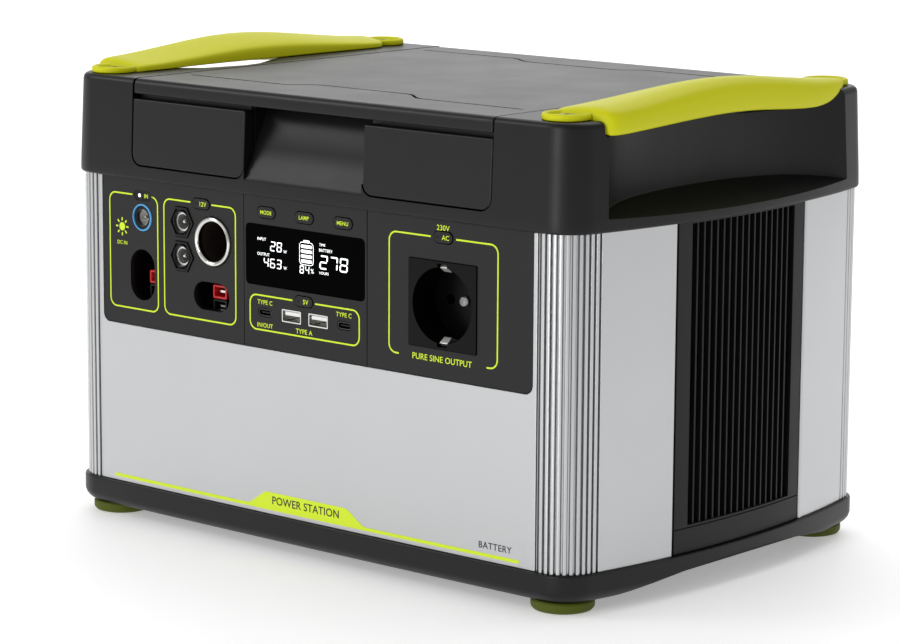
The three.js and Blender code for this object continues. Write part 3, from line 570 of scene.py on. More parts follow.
pitch = 2 * SLOT_Y / 17
for side, sx in (("left", -1), ("right", 1)):
    slat = make(f"slats_{side}", box(-0.5, -0.5, SLOT_LOW - 1, 0.5, 0.5, SLOT_HIGH + 1))
    edit(slat, lambda bm: bmesh.ops.scale(bm, vec=(3.2, 1.1, 1), verts=bm.verts))
    slat_array(slat, 16, pitch * MM, grille_black)
    for v in slat.data.vertices:
        v.co.y -= (SLOT_Y - pitch) * MM
        v.co.x = sx * (v.co.x + (side_x(v.co.y / MM) - 3.0) * MM)
    edit(slat, lambda bm: bmesh.ops.recalc_face_normals(bm, faces=bm.faces))
    rim = [(y, z) for y, z in rounded(-VENT_Y, BASE_TOP + 0.3, VENT_Y, ALU_TOP, 0.3, 1)]
    surround = make(f"vent_frame_{side}", slab(rim, 0, 3))
    carve(surround, slab(rounded(-SLOT_Y, SLOT_LOW, SLOT_Y, SLOT_HIGH, 0.6, 3), -5, 9))
    carve(surround, slab([(-60, 34.1), (60, 34.1), (60, 34.7), (-60, 34.7)], -3, 0.8))
    rounded_edges(surround, 0.25)
    sliced(surround, 6, 54)
    for v in surround.data.vertices:
        y, depth = v.co.x / MM, v.co.y / MM
        v.co.x, v.co.y = sx * (side_x(y) - 0.5 - depth) * MM, y * MM
    edit(surround, lambda bm: bmesh.ops.recalc_face_normals(bm, faces=bm.faces))
    dress(surround, grille_black, nodes=[f"vent_grille_{side}"])
    dress(slat, grille_black)
    near, far = sorted((sx * 184.5, sx * 186))
    liner = make(f"vent_liner_{side}", box(near, -50, 30, far, 50, 191))
    verts, faces = slab(circle(0, 112, 43.6, 64), -9, 9)
    carve(liner, moved(([(y, x, z) for x, y, z in verts], faces), sx * 185, 0, 0))
    dress(liner, grille_black)
print("vents done: 16 slats a side, pitch", round(pitch, 2), "mm")

# %% [markdown]
# ## Top housing
# One moulding: a drafted loft with a rounded top edge. Out of it come the two hand recesses with
# their sloping ledges, the room for the grips, the mouth the lid closes, the pockets of the two
# hanging blocks, the finger ramp between them and the groove the hinge barrel turns in. It is
# carved rather than modelled face by face, because that is how the mould was cut, and one bevel
# at the end rounds every edge alike.

# %% Outlines of the housing
SHELL = [(HOUSING_Z, 1.2), (193.0, 1.8), (194.0, 2.0), (199.0, 1.9), (243.4, 0.0), (244.8, -0.25),
         (245.8, -0.8), (246.5, -1.6), (246.9, -2.5), (TOP_Z, -3.6)]
wall = [(157, 0), (157, 14), (158, 34), (160.5, 54), (164.5, 72), (170, 86), (176.5, 95.5),
        (184, 102.5), (192, 107), (215, 116)]
roof = [(-104.9, 300), (-104.9, 240.2), (-102.2, 238.4), (-96, 237.4), (73, 237.2), (80, 237.9),
        (87, 240.4), (93, 244.2), (98, 248), (98, 300)]
FORWARD_BY = 2.6
recess_plan = [(x, -FORWARD_BY - y) for x, y in wall[::-1]] + [(x, y - FORWARD_BY) for x, y in wall[1:]]
ledge = [(150, 204.8), (157, 203.8), (192.5, 197.2), (240, 188.4), (240, 300), (150, 300)]
ramp = [(-150, 199.6), (-129.8, 199.6), (-128.2, 201.4), (-110, 238.7), (-110, 262), (-150, 262)]
PAD_X, PAD_Y = 160.6, 110  # middle of a handle's end pad and its screw
print("housing from", HOUSING_Z, "to", TOP_Z, "mm")


# %% Top housing
def mirrored_pair(shape):
    return [shape, mirrored(shape)]


def taken(obj):
    """An object's shape, back as vertices and faces; the object goes."""
    shape = ([tuple(v.co / MM) for v in obj.data.vertices], [tuple(p.vertices) for p in obj.data.polygons])
    bpy.data.objects.remove(obj)
    return shape


def housing_solid():
    housing = make("top_housing_look", loft(SHELL))
    recess = make("recess", prism(recess_plan[::-1], 180, 300))
    carve(recess, slab(ledge, -120, 120), operation="INTERSECT")
    rounded_edges(recess, 3.0, 4, 40)
    grip_room = stack([[(x, y, z) for y, z in roof] for x in (158, 220)])
    dip = stack([[(x0, y, 249), (x0, y, 247), (166, y, 240.5), (166, y, 249)]
                 for y, x0 in ((-80, 157.6), (-62, 139), (-36, 133), (-8, 136), (24, 157.6))])
    mouth = LID_X + 0.5
    ramp_x = stack([[(x, y, z) for y, z in ramp] for x in (-42.0, 42.0)])
    cuts = [c for s in (taken(recess), grip_room, dip) for c in mirrored_pair(s)]
    cuts += [box(-mouth, -160, 238.7, mouth, HINGE_Y + 0.2, 300)]
    cuts += mirrored_pair(slab(rounded(41.9, 199.5, mouth, 262, 7.2), -160, -120.5))
    cuts += [ramp_x, moved(turned([(6.6, -mouth), (6.6, mouth)], 64), 0, HINGE_Y, HINGE_Z, ALONG_X)]
    cuts += [box(-mouth, HINGE_Y, HINGE_Z, mouth, 160, 300), box(-118, -104, 180, 118, 112, 300)]
    for x, y in ((PAD_X, PAD_Y), (PAD_X, -PAD_Y), (-PAD_X, PAD_Y), (-PAD_X, -PAD_Y)):
        cuts.append(moved(turned([(2.6, 238), (2.6, 262)], 24), x, y))
    return carve(housing, *cuts)


housing = rounded_edges(housing_solid(), 0.7, 3, 28)
dress(housing, shell_black, nodes=["top_housing"], angle=30)
print("top housing:", len(housing.data.polygons), "faces")

# %% [markdown]
# ## Lid
# The lid opens on a barrel at the back. Its plate and the two blocks that hang from its front edge
# are cut out of the same drafted form as the housing, so that they close flush with it. A thin
# gap between plate and blocks reads as a dark line. Fine creases on top follow the finger ramp's
# outline.

# %% Pieces of a shared outer form
def shared_face(name, shape, soft):
    """The part of the housing's outer form inside a shape, with its edges rounded."""
    piece = make(name, loft(SHELL))
    carve(piece, shape, operation="INTERSECT")
    return rounded_edges(piece, soft, 3, 28)


def fused(name, objects):
    """Puts several finished solids in one mesh; they sit against each other."""
    bm = bmesh.new()
    for obj in objects:
        bm.from_mesh(obj.data)
        bpy.data.objects.remove(obj)
    mesh = bpy.data.meshes.new(name)
    bm.to_mesh(mesh)
    bm.free()
    whole = bpy.data.objects.new(name, mesh)
    bpy.context.collection.objects.link(whole)
    return whole


def ribbon(points, half, z0, z1):
    """A thin band that follows a polyline, for grooves."""
    left, right = [], []
    for i, (x, y) in enumerate(points):
        a, b = points[max(i - 1, 0)], points[min(i + 1, len(points) - 1)]
        length = math.hypot(b[0] - a[0], b[1] - a[1])
        nx, ny = -(b[1] - a[1]) / length * half, (b[0] - a[0]) / length * half
        left.append((x + nx, y + ny))
        right.append((x - nx, y - ny))
    return prism(left[::-1] + right, z0, z1)


def crease(low, high, sign):
    """Straight runs at |y| = low, swung in to |y| = high over the finger ramp."""
    bend = [(0.5 - 0.5 * math.cos(math.pi * i / 8)) for i in range(9)]
    side = [(-118, low)] + [(-50 + 20 * i / 8, low + (high - low) * t) for i, t in enumerate(bend)]
    return [(x, sign * y) for x, y in side + [(-x, y) for x, y in side[::-1]]]


def tongue(x0, z0, x1, z1, r):
    """Square at the top, rounded below."""
    full = rounded(x0, z0, x1, z1, r)
    return full[27:36] + full[0:9] + [(x1, z1), (x0, z1)]


print("crease points:", len(crease(92.5, 81.0, -1)))

# %% Lid
plate = make("lid_plate", loft(SHELL))
carve(plate, box(0.5 - LID_X, -160, 238.9, LID_X - 0.5, HINGE_Y - 1.5, 262), operation="INTERSECT")
carve(plate, box(-113, -99, 230, 113, 106, 243.8))
rounded_edges(plate, 0.9, 3, 28)
carve(plate, ribbon(crease(92.5, 81.0, -1), 0.9, 245.0, 250), ribbon(crease(99.5, 89.8, 1), 0.9, 245.0, 250))
blocks = [shared_face("block", slab(tongue(x0, 200.1, x1, 236.2, 6.6), -160, -120.9), 1.0)
          for x0, x1 in ((-LID_X, -42.5), (42.5, LID_X))]
necks = [make("neck", box(x0, -122.0, 228, x0 + 84, -121.1, 240)) for x0 in (-127.3, 43.3)]
barrel = hollow([(1.8, -LID_X), (4.7, -LID_X), (5.2, -LID_X + 0.5), (5.2, LID_X - 0.5), (4.7, LID_X),
                 (1.8, LID_X)], 64)
knuckle = make("barrel", moved(barrel, 0, HINGE_Y, HINGE_Z, ALONG_X))
lid = fused("lid_look", [plate, *blocks, *necks, knuckle])
dress(lid, lid_black, "lid", ["lid"], angle=30)
print("lid:", len(lid.data.polygons), "faces")

# %% [markdown]
# ## Carrying handles
# Each handle is a moulded grip between two round end pads that are screwed down. The grip is a
# skin over stations along its length: it starts blunt at the front, swells outwards over the hand
# recess, arches up and tapers off at the back. Stations are used because the section changes all
# the way, and Subdivision Surface smooths the skin. The pads carry a raised rim round the screw.

# %% Handle sections
GRIP = [
    (-105.4, 150, 172, 249.4, 247.2, 247.2), (-103.8, 148.5, 180.5, 252.6, 247.1, 240.2),
    (-100.5, 147, 184, 253.8, 247.2, 239.2), (-92, 146.6, 184.8, 253.9, 247.3, 239.4),
    (-80, 146.4, 185, 254.8, 247.3, 239.9), (-59, 146.6, 185, 256.8, 247.4, 240.9),
    (-38, 147, 185, 259, 247.4, 241.9), (-16, 147.2, 185, 260.7, 247.2, 242.6),
    (5, 147.2, 185, 260.7, 247.1, 242.7), (27, 147.2, 185, 259.3, 247.2, 241.6),
    (50, 146.8, 184.8, 256.8, 247.2, 239.8), (70, 146.4, 184.2, 254.6, 247.2, 238.9),
    (79, 146.2, 183, 253.6, 247.2, 239.5), (86, 146, 182.4, 253, 247.2, 240.6),
    (92, 146, 181.4, 252.7, 247.2, 242.8), (98, 149, 179.6, 252.2, 247.2, 245.4),
    (104, 159, 177, 251.8, 247.2, 247.2), (109, 165, 173, 250.6, 247.2, 247.2),
]  # y, inner edge, outer edge, top, underside at the inner edge, underside at the outer edge


def grip_ring(y, inner, outer, top, low_in, low_out):
    w, drop, rise = outer - inner, top - low_out, top - low_in
    under = max(low_in, low_out) + 0.06 * (top - max(low_in, low_out))
    points = [(0, low_in), (0, low_in + 0.08 * rise), (0, low_in + 0.46 * rise), (0.05, low_in + 0.62 * rise),
              (0.26, top - 0.2 * rise), (0.52, top - 0.05 * rise), (0.72, top), (0.85, top - 0.05 * drop),
              (0.95, top - 0.16 * drop), (1.0, top - 0.38 * drop), (1.0, low_out + 0.08 * drop),
              (0.93, low_out), (0.84, low_out + 0.07 * drop), (0.5, under), (0.08, low_in)]
    return [(inner + w * t, y, z) for t, z in points]


pad = [(0, 247.05), (11.9, 247.05), (12.5, 247.6), (12.5, 249.3), (12.1, 250.2), (11.2, 250.6),
       (10.2, 250.4), (9.6, 249.8), (9.3, 248.9), (0, 248.7)]
screw_head = [(0, 248), (4, 248), (4.2, 248.2), (4.2, 249.1), (3.8, 249.6), (0, 249.7)]
print("stations along a grip:", len(GRIP))

# %% Handles and their screws
for side, sx in (("left", -1), ("right", 1)):
    grip = make(f"grip_{side}", stack([grip_ring(*row) for row in GRIP]))
    smooth = grip.modifiers.new("smooth", "SUBSURF")
    smooth.levels = 3
    bake(grip)
    pads = [make("pad", moved(turned(pad, 64), PAD_X, y)) for y in (-PAD_Y, PAD_Y)]
    handle = fused(f"handle_{side}_look", [grip, *pads])
    if sx < 0:
        edit(handle, lambda bm: bmesh.ops.scale(bm, vec=(-1, 1, 1), verts=bm.verts))
        edit(handle, lambda bm: bmesh.ops.reverse_faces(bm, faces=bm.faces))
    dress(handle, lime_plastic, nodes=[f"handle_{side}"], angle=50)
    for depth, sy in (("front", -1), ("rear", 1)):
        head = make("head", turned(screw_head, 40))
        carve(head, prism(circle(0, 0, 2.0, 6), 248.8, 252))
        screw = fused(f"screw_{depth}_{side}", [head])
        place = Vector((sx * PAD_X, sy * PAD_Y, 0)) * MM
        edit(screw, lambda bm: bmesh.ops.translate(bm, vec=place, verts=bm.verts))
        dress(screw, screw_paint, nodes=[f"handle_screw_{depth}_{side}"])
print("handles done")

# %% [markdown]
# ## Port panel
# Three modules with a fine seam between them, as if each could be changed for another. Everything
# here is built flat, with the face at y = 0, and then moved out to the bowed front, because the
# openings are easier to place on a flat sheet and stay true to each other.

# %% Places on the panel
BUTTONS = {"units": ("units_button", "button_units", -27.5, 183.7, 13.0, 5.8),
           "light": ("light_button", "button_light", 0.0, 183.7, 13.0, 5.8),
           "info": ("info_button", "button_info", 27.5, 183.7, 13.0, 5.8),
           "12v": ("dc_button", "button_12v", -76.4, 183.4, 12.6, 5.4),
           "usb": ("usb_button", "button_usb", -0.4, 139.4, 12.6, 5.4),
           "ac": ("ac_button", "button_ac", 95.7, 183.5, 12.2, 5.8)}
LED = (-122.0, 183.3, 13.2, 5.6)
SOLAR, CAR, AC = (-122.5, 171.3), (-67.4, 163.9), (95.3, 148.7)
HEXES = [(-91.6, 172.1), (-91.6, 153.4)]
SLOT_IN, SLOT_OUT = (-122.6, 139.6, 19.2, 28.2), (-69.0, 133.9, 27.0, 15.4)
USB_A, USB_C = [(-9.6, 130.3), (9.6, 130.3)], [(-28.7, 130.2), (28.4, 130.2)]
SCREEN = (-42.6, 144.6, 42.6, 177.0)
print("buttons:", list(BUTTONS))


# %% Panel modules
def through(points, deep=6):
    return slab(points, -3, deep)


def panel_module(name, x0, x1, holes, node):
    panel = make(name, slab(rounded(-PANEL_X, PANEL_LOW, PANEL_X, 260, 5, 12), 0, 3))
    carve(panel, box(x0, -5, 90, x1, 9, ALU_TOP), operation="INTERSECT")
    carve(panel, *holes)
    rounded_edges(panel, 0.28, 2, 30)
    dress(bowed(sliced(panel)), panel_black, nodes=[node], angle=30)


OUTLET_HALF = 22.7
button_gap = {k: through(pill(b[2], b[3], b[4] + 0.9, b[5] + 0.9)) for k, b in BUTTONS.items()}
panel_module("input_panel_look", -200, -SEAM_X - 0.2, [
    button_gap["12v"], through(pill(*LED)), through(circle(*SOLAR, 7.7)), through(pill(*SLOT_IN, 12)),
    *[through(circle(x, z, 9.6, 6)) for x, z in HEXES], through(circle(*CAR, 13.6, 64)),
    through(pill(*SLOT_OUT, 12))], "input_panel")
panel_module("display_panel_look", -SEAM_X + 0.2, SEAM_X - 0.2, [
    *[button_gap[k] for k in ("units", "light", "info", "usb")],
    through(rounded(SCREEN[0] - 0.2, SCREEN[1] - 0.2, SCREEN[2] + 0.2, SCREEN[3] + 0.2, 2.8)),
    *[through(rounded(x - 7.1, z - 3.6, x + 7.1, z + 3.6, 0.6)) for x, z in USB_A],
    *[through(pill(x, z, 10.4, 4.8)) for x, z in USB_C]], "display_panel")
panel_module("ac_panel_look", SEAM_X + 0.2, 200, [
    button_gap["ac"], through(rounded(AC[0] - OUTLET_HALF, AC[1] - OUTLET_HALF, AC[0] + OUTLET_HALF,
                                      AC[1] + OUTLET_HALF, 0.8))], "ac_panel")
print("openings cut for", len(button_gap), "buttons and every socket")

# %% Buttons, display and lamp window
def front_piece(name, shapes, material, soft=0.0, body="case", nodes=(), angle=35):
    piece = make(name, *shapes)
    if soft:
        rounded_edges(piece, soft, 3)
    return dress(bowed(piece), material, body, nodes, angle=angle)


for key, (body, node, x, z, w, h) in BUTTONS.items():
    front_piece(f"{node}_look", [slab(pill(x, z, w, h, 12), -0.45, 3)], button_black, 0.5, body, [node])
front_piece("input_led_look", [slab(pill(*LED, 12), 0.15, 3)], led_smoke, 0.3, nodes=["input_led"])
front_piece("display_window_look", [slab(rounded(*SCREEN, 2.6), 0.25, 2.4)], window_black, 0.3,
            nodes=["display_window"])

# %% [markdown]
# ## Connectors
# Turned parts are built along +Z and laid forward, so a round inlet is one list of radii and
# heights. Recesses keep their real depth, so the light falls off inside them as it does in the
# real sockets. Each metal contact is its own piece: a glint deep in a dark bore is what makes a
# socket look open.

# %% Round solar inlet
def facing(profile, x, z, n=48):
    """Turned profile with its +Z towards the viewer and height 0 on the panel face."""
    return moved(turned(profile, n), x, 0, z, FORWARD)


def bored(name, shape, bore, material, nodes=()):
    """A body with one opening cut into it, set on the bowed front."""
    piece = make(name, shape)
    carve(piece, bore)
    return dress(bowed(piece), material, nodes=nodes)


bored("solar_ring", facing([(0, -16), (7.5, -16), (7.5, 0.2), (7.2, 0.5), (6.8, 0.5), (0, 0.45)], *SOLAR),
      slab(circle(*SOLAR, 6.6), -3, 15.5), blue_ring, ["solar_port"])
bored("solar_core", facing([(0, -14), (6.5, -14), (6.5, -0.5), (6.2, -0.3), (0, -0.3)], *SOLAR),
      slab(circle(*SOLAR, 4.6), -9, 12), port_black)
bored("solar_sleeve", facing([(0, -11.6), (4.5, -11.6), (4.5, -2.4), (0, -2.4)], *SOLAR),
      slab(circle(*SOLAR, 3.8), -3, 11.2), spring_steel)
solar_pin = facing([(0, -12), (0.9, -12), (0.9, -3), (0.5, -2.4), (0, -2.3)], *SOLAR, 20)
front_piece("solar_pin", [solar_pin], bright_steel)
print("solar inlet at", SOLAR)

# %% Hexagonal inlets
collar_profile = [(0, -10), (6.6, -10), (6.6, -0.2), (6.0, 0.5), (5.5, 0.3), (5.2, -0.4), (5.2, -9), (0, -9)]
for label, (x, z) in zip(("upper", "lower"), HEXES):
    core = make("hex", slab(circle(x, z, 9.2, 6), -0.7, 14))
    carve(core, slab(circle(x, z, 7.9, 6), -3, 0.5))
    rounded_edges(core, 0.3, 2)
    collar = make("collar", facing(collar_profile, x, z))
    carve(core, slab(circle(x, z, 6.5), -3, 12))
    dress(bowed(core), port_black, nodes=[f"hex_port_{label}"], angle=30)
    dress(bowed(collar), port_black)
    bored("sleeve", facing([(0, -9.6), (5.1, -9.6), (5.1, -1.2), (0, -1.2)], x, z),
          slab(circle(x, z, 4.2), -3, 9.2), spring_steel)
    hex_pin = facing([(0, -12), (1.2, -12), (1.2, -2.5), (0.7, -1.8), (0, -1.7)], x, z, 20)
    front_piece(f"hex_pin_{label}", [hex_pin], bright_steel)
print("hexagonal inlets:", len(HEXES))

# %% Vehicle socket
socket_liner = surface("socket liner", "port_plastic", "1d1611", 0.5, grain=0.8, bump=0.01)
bored("car_socket_look", facing([(0, -43), (13.2, -43), (13.2, -2.1), (0, -2.1)], *CAR, 64),
      slab(circle(*CAR, 10.9, 64), -9, 40), socket_liner, ["car_socket"])
car_ring = hollow([(10.8, -1.9), (13.3, -1.9), (13.3, 0.5), (12.9, 1.1), (12.1, 1.4), (11.4, 1.2),
                   (10.9, 0.6)], 96)
front_piece("car_ring_look", [moved(car_ring, CAR[0], 0, CAR[1], FORWARD)], bright_steel,
            nodes=["car_socket_ring"])
car_contact = facing([(0, -41), (3.2, -41), (3.2, -38), (2, -36.5), (0, -36.5)], *CAR, 32)
front_piece("car_contact", [car_contact], bright_steel)
print("vehicle socket at", CAR)


# %% High-power connectors
def inset(x, z, w, h, by, r):
    """A rounded box outline about (x, z), drawn in by a margin."""
    return rounded(x - w / 2 + by, z - h / 2 + by, x + w / 2 - by, z + h / 2 - by, r)


def power_connector(name, x, z, w, h, node):
    """A square bay in a small red housing, with a contact blade in it, over a black twin."""
    for label, dz, material, nodes in (("", 0, red_nylon, [node]), ("_twin", -h - 0.5, port_black, [])):
        cell = make(name + label, slab(inset(x, z + dz, w, h, 0, 0.8), 6.5, 24))
        carve(cell, slab(inset(x, z + dz, w, h, 1.2, 0.4), 3, 19))
        rounded_edges(cell, 0.3, 2)
        dress(bowed(cell), material, nodes=nodes)
        blade = box(x - w * 0.28, 9, z + dz - 0.6, x + w * 0.28, 20, z + dz + 0.6)
        front_piece(f"{name}_blade{label}", [blade], bright_steel)


power_connector("power_in_look", SLOT_IN[0] + 3.2, 138.0, 9.0, 7.2, "high_power_input")
power_connector("power_out_look", SLOT_OUT[0] - 0.2, 135.6, 10.4, 7.4, "high_power_output")
WELL_DEEP, WELL_WALL = 27, 1.2
for name, (x, z, w, h) in (("power_in_well", SLOT_IN), ("power_out_well", SLOT_OUT)):
    bored(name, slab(pill(x, z, w + 2 * WELL_WALL, h + 2 * WELL_WALL, 12), 2.9, WELL_DEEP),
          slab(pill(x, z, w, h, 12), -3, WELL_DEEP - WELL_WALL), port_black)
print("high-power bays at", SLOT_IN[:2], SLOT_OUT[:2])

# %% USB sockets
white_tongue = surface("white tongue", "bright_steel", "e4e4e2", 0.4, grain=1.0, bump=0.002)
for label, (x, z) in zip(("left", "right"), USB_A):
    bored(f"usb_a_{label}_look", slab(rounded(x - 6.9, z - 3.4, x + 6.9, z + 3.4, 0.5), 0.1, 13),
          slab(rounded(x - 6.3, z - 2.8, x + 6.3, z + 2.8, 0.4), -3, 11), bright_steel, [f"usb_a_{label}"])
    front_piece(f"tongue_{label}", [box(x - 5.4, 1.0, z + 0.3, x + 5.4, 10.5, z + 2.3)], white_tongue, 0.15)
for label, (x, z) in zip(("left", "right"), USB_C):
    bored(f"usb_c_{label}_look", slab(pill(x, z, 9.6, 3.9, 10), 0.1, 9),
          slab(pill(x, z, 8.6, 2.9, 10), -3, 7.5), dark_steel, [f"usb_c_{label}"])
    front_piece(f"tab_{label}", [box(x - 3.3, 0.8, z - 0.35, x + 3.3, 7.6, z + 0.35)], port_black)
print("USB sockets:", len(USB_A) + len(USB_C))

# %% AC outlet
ax, az = AC
insert = make("ac_socket_look", slab(rounded(ax - 22.4, az - 22.4, ax + 22.4, az + 22.4, 0.8), -0.5, 26))
carve(insert, slab(circle(ax, az, 19.6, 96), -5, 17.5))
carve(insert, *[slab(rounded(ax - 3.2, az + s * 19 - 2.4, ax + 3.2, az + s * 19 + 2.4, 0.4), -5, 17.5)
                for s in (-1, 1)])
carve(insert, *[slab(circle(ax + dx, az, 2.6, 32), -5, 25) for dx in (-9.5, 9.5)])
rounded_edges(insert, 0.4, 3, 30)
dress(bowed(insert), outlet_black, nodes=["ac_socket"], angle=30)
centre_screw = facing([(0, -17.5), (2.9, -17.5), (2.9, -16.4), (2.3, -15.9), (0, -15.8)], ax, az, 32)
front_piece("centre_screw", [centre_screw], screw_steel)
spring = [(0.8, 19.4), (2.2, 20.9), (12.5, 20.9), (17.4, 20.4), (17.4, 19.6), (12.5, 19.9), (4.4, 16.6),
          (1.6, 18.6)]
for label, s in (("upper", 1), ("lower", -1)):
    clip = stack([[(x, y, az + s * z) for y, z in spring] for x in (ax - 2.5, ax + 2.5)])
    front_piece(f"earth_clip_{label}_look", [clip], spring_steel, 0.2, nodes=[f"earth_clip_{label}"],
                angle=50)
print("outlet at", AC)

# %% [markdown]
# ## Printed lines, words and the lit display
# Strokes are thin raised bands on the panel face, and words come from text curves turned into
# meshes, because real ink has an edge that stays sharp however near the view is. All of the words
# say only generic things: voltages, directions and what a port is for. The display's digits are
# seven-segment bars a little above its window, and they glow.

# %% Strokes and words
def band(points, width, depth=-0.04):
    """A flat stroke along (x, z) points, just proud of the face."""
    flat, faces = ribbon(points, width / 2, depth, 0.05)
    return [(x, y, z) for x, z, y in flat], faces


def frame_stroke(x0, z0, x1, z1, gap, open_below=None, r=4.6):
    """An outline with a gap in its top edge for the button, and one below for words if asked."""
    loop = rounded(x0, z0, x1, z1, r, 8)
    right_side = [(gap[1], z1)] + loop[9:18][::-1] + loop[0:9][::-1]
    left_side = [(gap[0], z1)] + loop[18:27] + loop[27:36]
    if open_below:
        return [band(right_side + [(open_below[1], z0)], 0.85), band(left_side + [(open_below[0], z0)], 0.85)]
    return [band(right_side + left_side[::-1], 0.85)]


def words(text, x, z, cap, material, body="case", depth=-0.06, align="CENTER", spacing=1.0, bold=0.0):
    """One line of text with the given cap height in mm, as a mesh on the panel face."""
    curve = bpy.data.curves.new(text, "FONT")
    curve.body, curve.align_x, curve.size = text, align, cap / 0.7 * MM
    curve.space_character, curve.offset, curve.extrude = spacing, bold * MM, 0.02 * MM
    temp = bpy.data.objects.new("temp", curve)
    bpy.context.collection.objects.link(temp)
    bpy.context.view_layer.update()
    mesh = bpy.data.meshes.new_from_object(temp.evaluated_get(bpy.context.evaluated_depsgraph_get()))
    bpy.data.objects.remove(temp)
    tag = "".join(c if c.isalnum() else "_" for c in text)
    obj = bpy.data.objects.new(f"words_{tag}_{len(bpy.data.objects)}", mesh)
    bpy.context.collection.objects.link(obj)
    place = Matrix.Translation(Vector((x, depth, z - cap / 2)) * MM) @ Matrix.Rotation(math.pi / 2, 4, "X")
    mesh.transform(place)
    return dress(bowed(obj), material, body, angle=30)


def printed(name, shapes, material, body="case"):
    return dress(bowed(sliced(make(name, *shapes), 8)), material, body)


print("stroke width", 0.85, "mm")

# %% Outlines and the sun mark
printed("input_outline", frame_stroke(-148.5, 120.2, -110.3, 183.3, (-130.2, -114.0)), lime_print)
printed("dc_outline", frame_stroke(-105.3, 120.5, -50.5, 183.6, (-84.6, -68.5)), lime_print)
printed("low_voltage_outline", frame_stroke(-39.8, 120.7, 38.8, 139.2, (-8.7, 7.6)), lime_print)
printed("outlet_outline", frame_stroke(59.4, 120.8, 131.3, 183.3, (87.3, 104.1), (66.0, 124.4)), lime_print)

sun_x, sun_z = -138.6, 164.8
sun = [slab(circle(sun_x, sun_z, 2.3, 32), -0.04, 0.05)]
for i in range(8):
    a = math.pi * i / 4
    dx, dz = math.cos(a), math.sin(a)
    sun.append(band([(sun_x + dx * 3.2, sun_z + dz * 3.2), (sun_x + dx * 5.0, sun_z + dz * 5.0)], 0.9))
printed("sun_mark", sun, lime_print)
print("outlines and a sun with 8 rays")

# %% Words on the panel and the buttons
for text, x, z, cap, spacing in (
        ("230V", 95.5, 188.4, 2.7, 1.05), ("PURE SINE OUTPUT", 95.0, 121.0, 3.1, 1.02),
        ("TYPE C", -28.7, 135.7, 2.3, 1.05), ("IN/OUT", -28.8, 123.4, 2.3, 1.05),
        ("TYPE A", -0.3, 123.4, 2.5, 1.05), ("TYPE C", 28.1, 135.9, 2.3, 1.05),
        ("DC IN", -138.6, 156.0, 2.0, 1.05)):
    words(text, x, z, cap, lime_print, spacing=spacing, bold=0.04)
for key, text, dx in (("units", "MODE", 0), ("light", "LAMP", 0), ("info", "MENU", 0), ("12v", "12V", 1.5),
                      ("usb", "5V", 1.6), ("ac", "AC", 1.8)):
    body, node, x, z, w, h = BUTTONS[key]
    words(text, x + dx, z, 2.4 if dx else 2.0, lime_print, body, depth=-0.47, spacing=1.05, bold=0.05)
    if dx:
        lamp = [slab(circle(x - 3.6, z, 0.75, 24), -0.5, -0.3)]
        dress(bowed(make(f"{node}_lamp", *lamp)), led_smoke, body)
words("IN", LED[0] + 2.6, LED[1], 2.2, lime_print, depth=0.13, bold=0.05)
lit_dot = surface("lit white dot", "led_window", "ffffff", 0.4, glow=1.2, grain=1.0, bump=0.0)
printed("input_lamp", [slab(circle(LED[0] - 2.6, LED[1], 1.0, 24), 0.1, 0.3)], lit_dot)

# %% Stripe and tab on the aluminium
stripe = [(-146.2, 23.8), (146.6, 23.8), (146.6, 25.6), (44.0, 25.6)]
tab = [(41.4, 26.1), (31.6, 32.6), (30.2, 33.4), (28.2, 33.6), (-26.8, 33.6), (-28.8, 33.4), (-30.2, 32.6),
       (-40.0, 26.1), (-42.6, 25.6), (-146.2, 25.6)]
front_stripe = make("stripe", slab(stripe + tab, -0.5, -0.3))
dress(bowed(sliced(front_stripe, 8)), lime_print)
dark_print = surface("dark print", "panel_plastic", "1a1a1a", 0.5, grain=0.5, bump=0.0)
words("POWER STATION", 0.7, 29.5, 4.2, dark_print, depth=-0.53, spacing=1.04, bold=0.08)
words("BATTERY", 131.0, 29.8, 3.4, dark_print, depth=-0.45, spacing=1.1, bold=0.04)
print("stripe of", len(stripe) + len(tab), "points")

# %% Seven-segment digits
SEGMENTS = {"0": "abcdef", "1": "bc", "2": "abged", "3": "abgcd", "4": "fgbc", "5": "afgcd", "6": "afgedc",
            "7": "abc", "8": "abcdefg", "9": "abcdfg"}


def digit(char, x, z, w, h, t):
    """Seven slanted bars; x, z is the lower left corner."""
    g, half = 0.12 * t, h / 2
    level = {"a": h - t / 2, "g": half, "d": t / 2}
    upright = {"f": (0, half), "b": (w, half), "e": (0, 0), "c": (w, 0)}
    bars = []
    for s in SEGMENTS[char]:
        if s in level:
            c = level[s]
            bars.append([(t / 2 + g, c), (t + g, c - t / 2), (w - t - g, c - t / 2), (w - t / 2 - g, c),
                         (w - t - g, c + t / 2), (t + g, c + t / 2)])
        else:
            side, low = upright[s]
            c = t / 2 if side == 0 else w - t / 2
            bars.append([(c, low + g + t * 0.4), (c + t / 2, low + t + g), (c + t / 2, low + half - t * 0.7),
                         (c, low + half - g), (c - t / 2, low + half - t * 0.7), (c - t / 2, low + t + g)])
    return [slab([(x + px + pz * 0.07, z + pz) for px, pz in bar], 0.2, 0.32) for bar in bars]


def number(text, x, z, w, h, t, step):
    return [bar for i, char in enumerate(text) for bar in digit(char, x + i * step, z, w, h, t)]


print("digits known:", "".join(SEGMENTS))

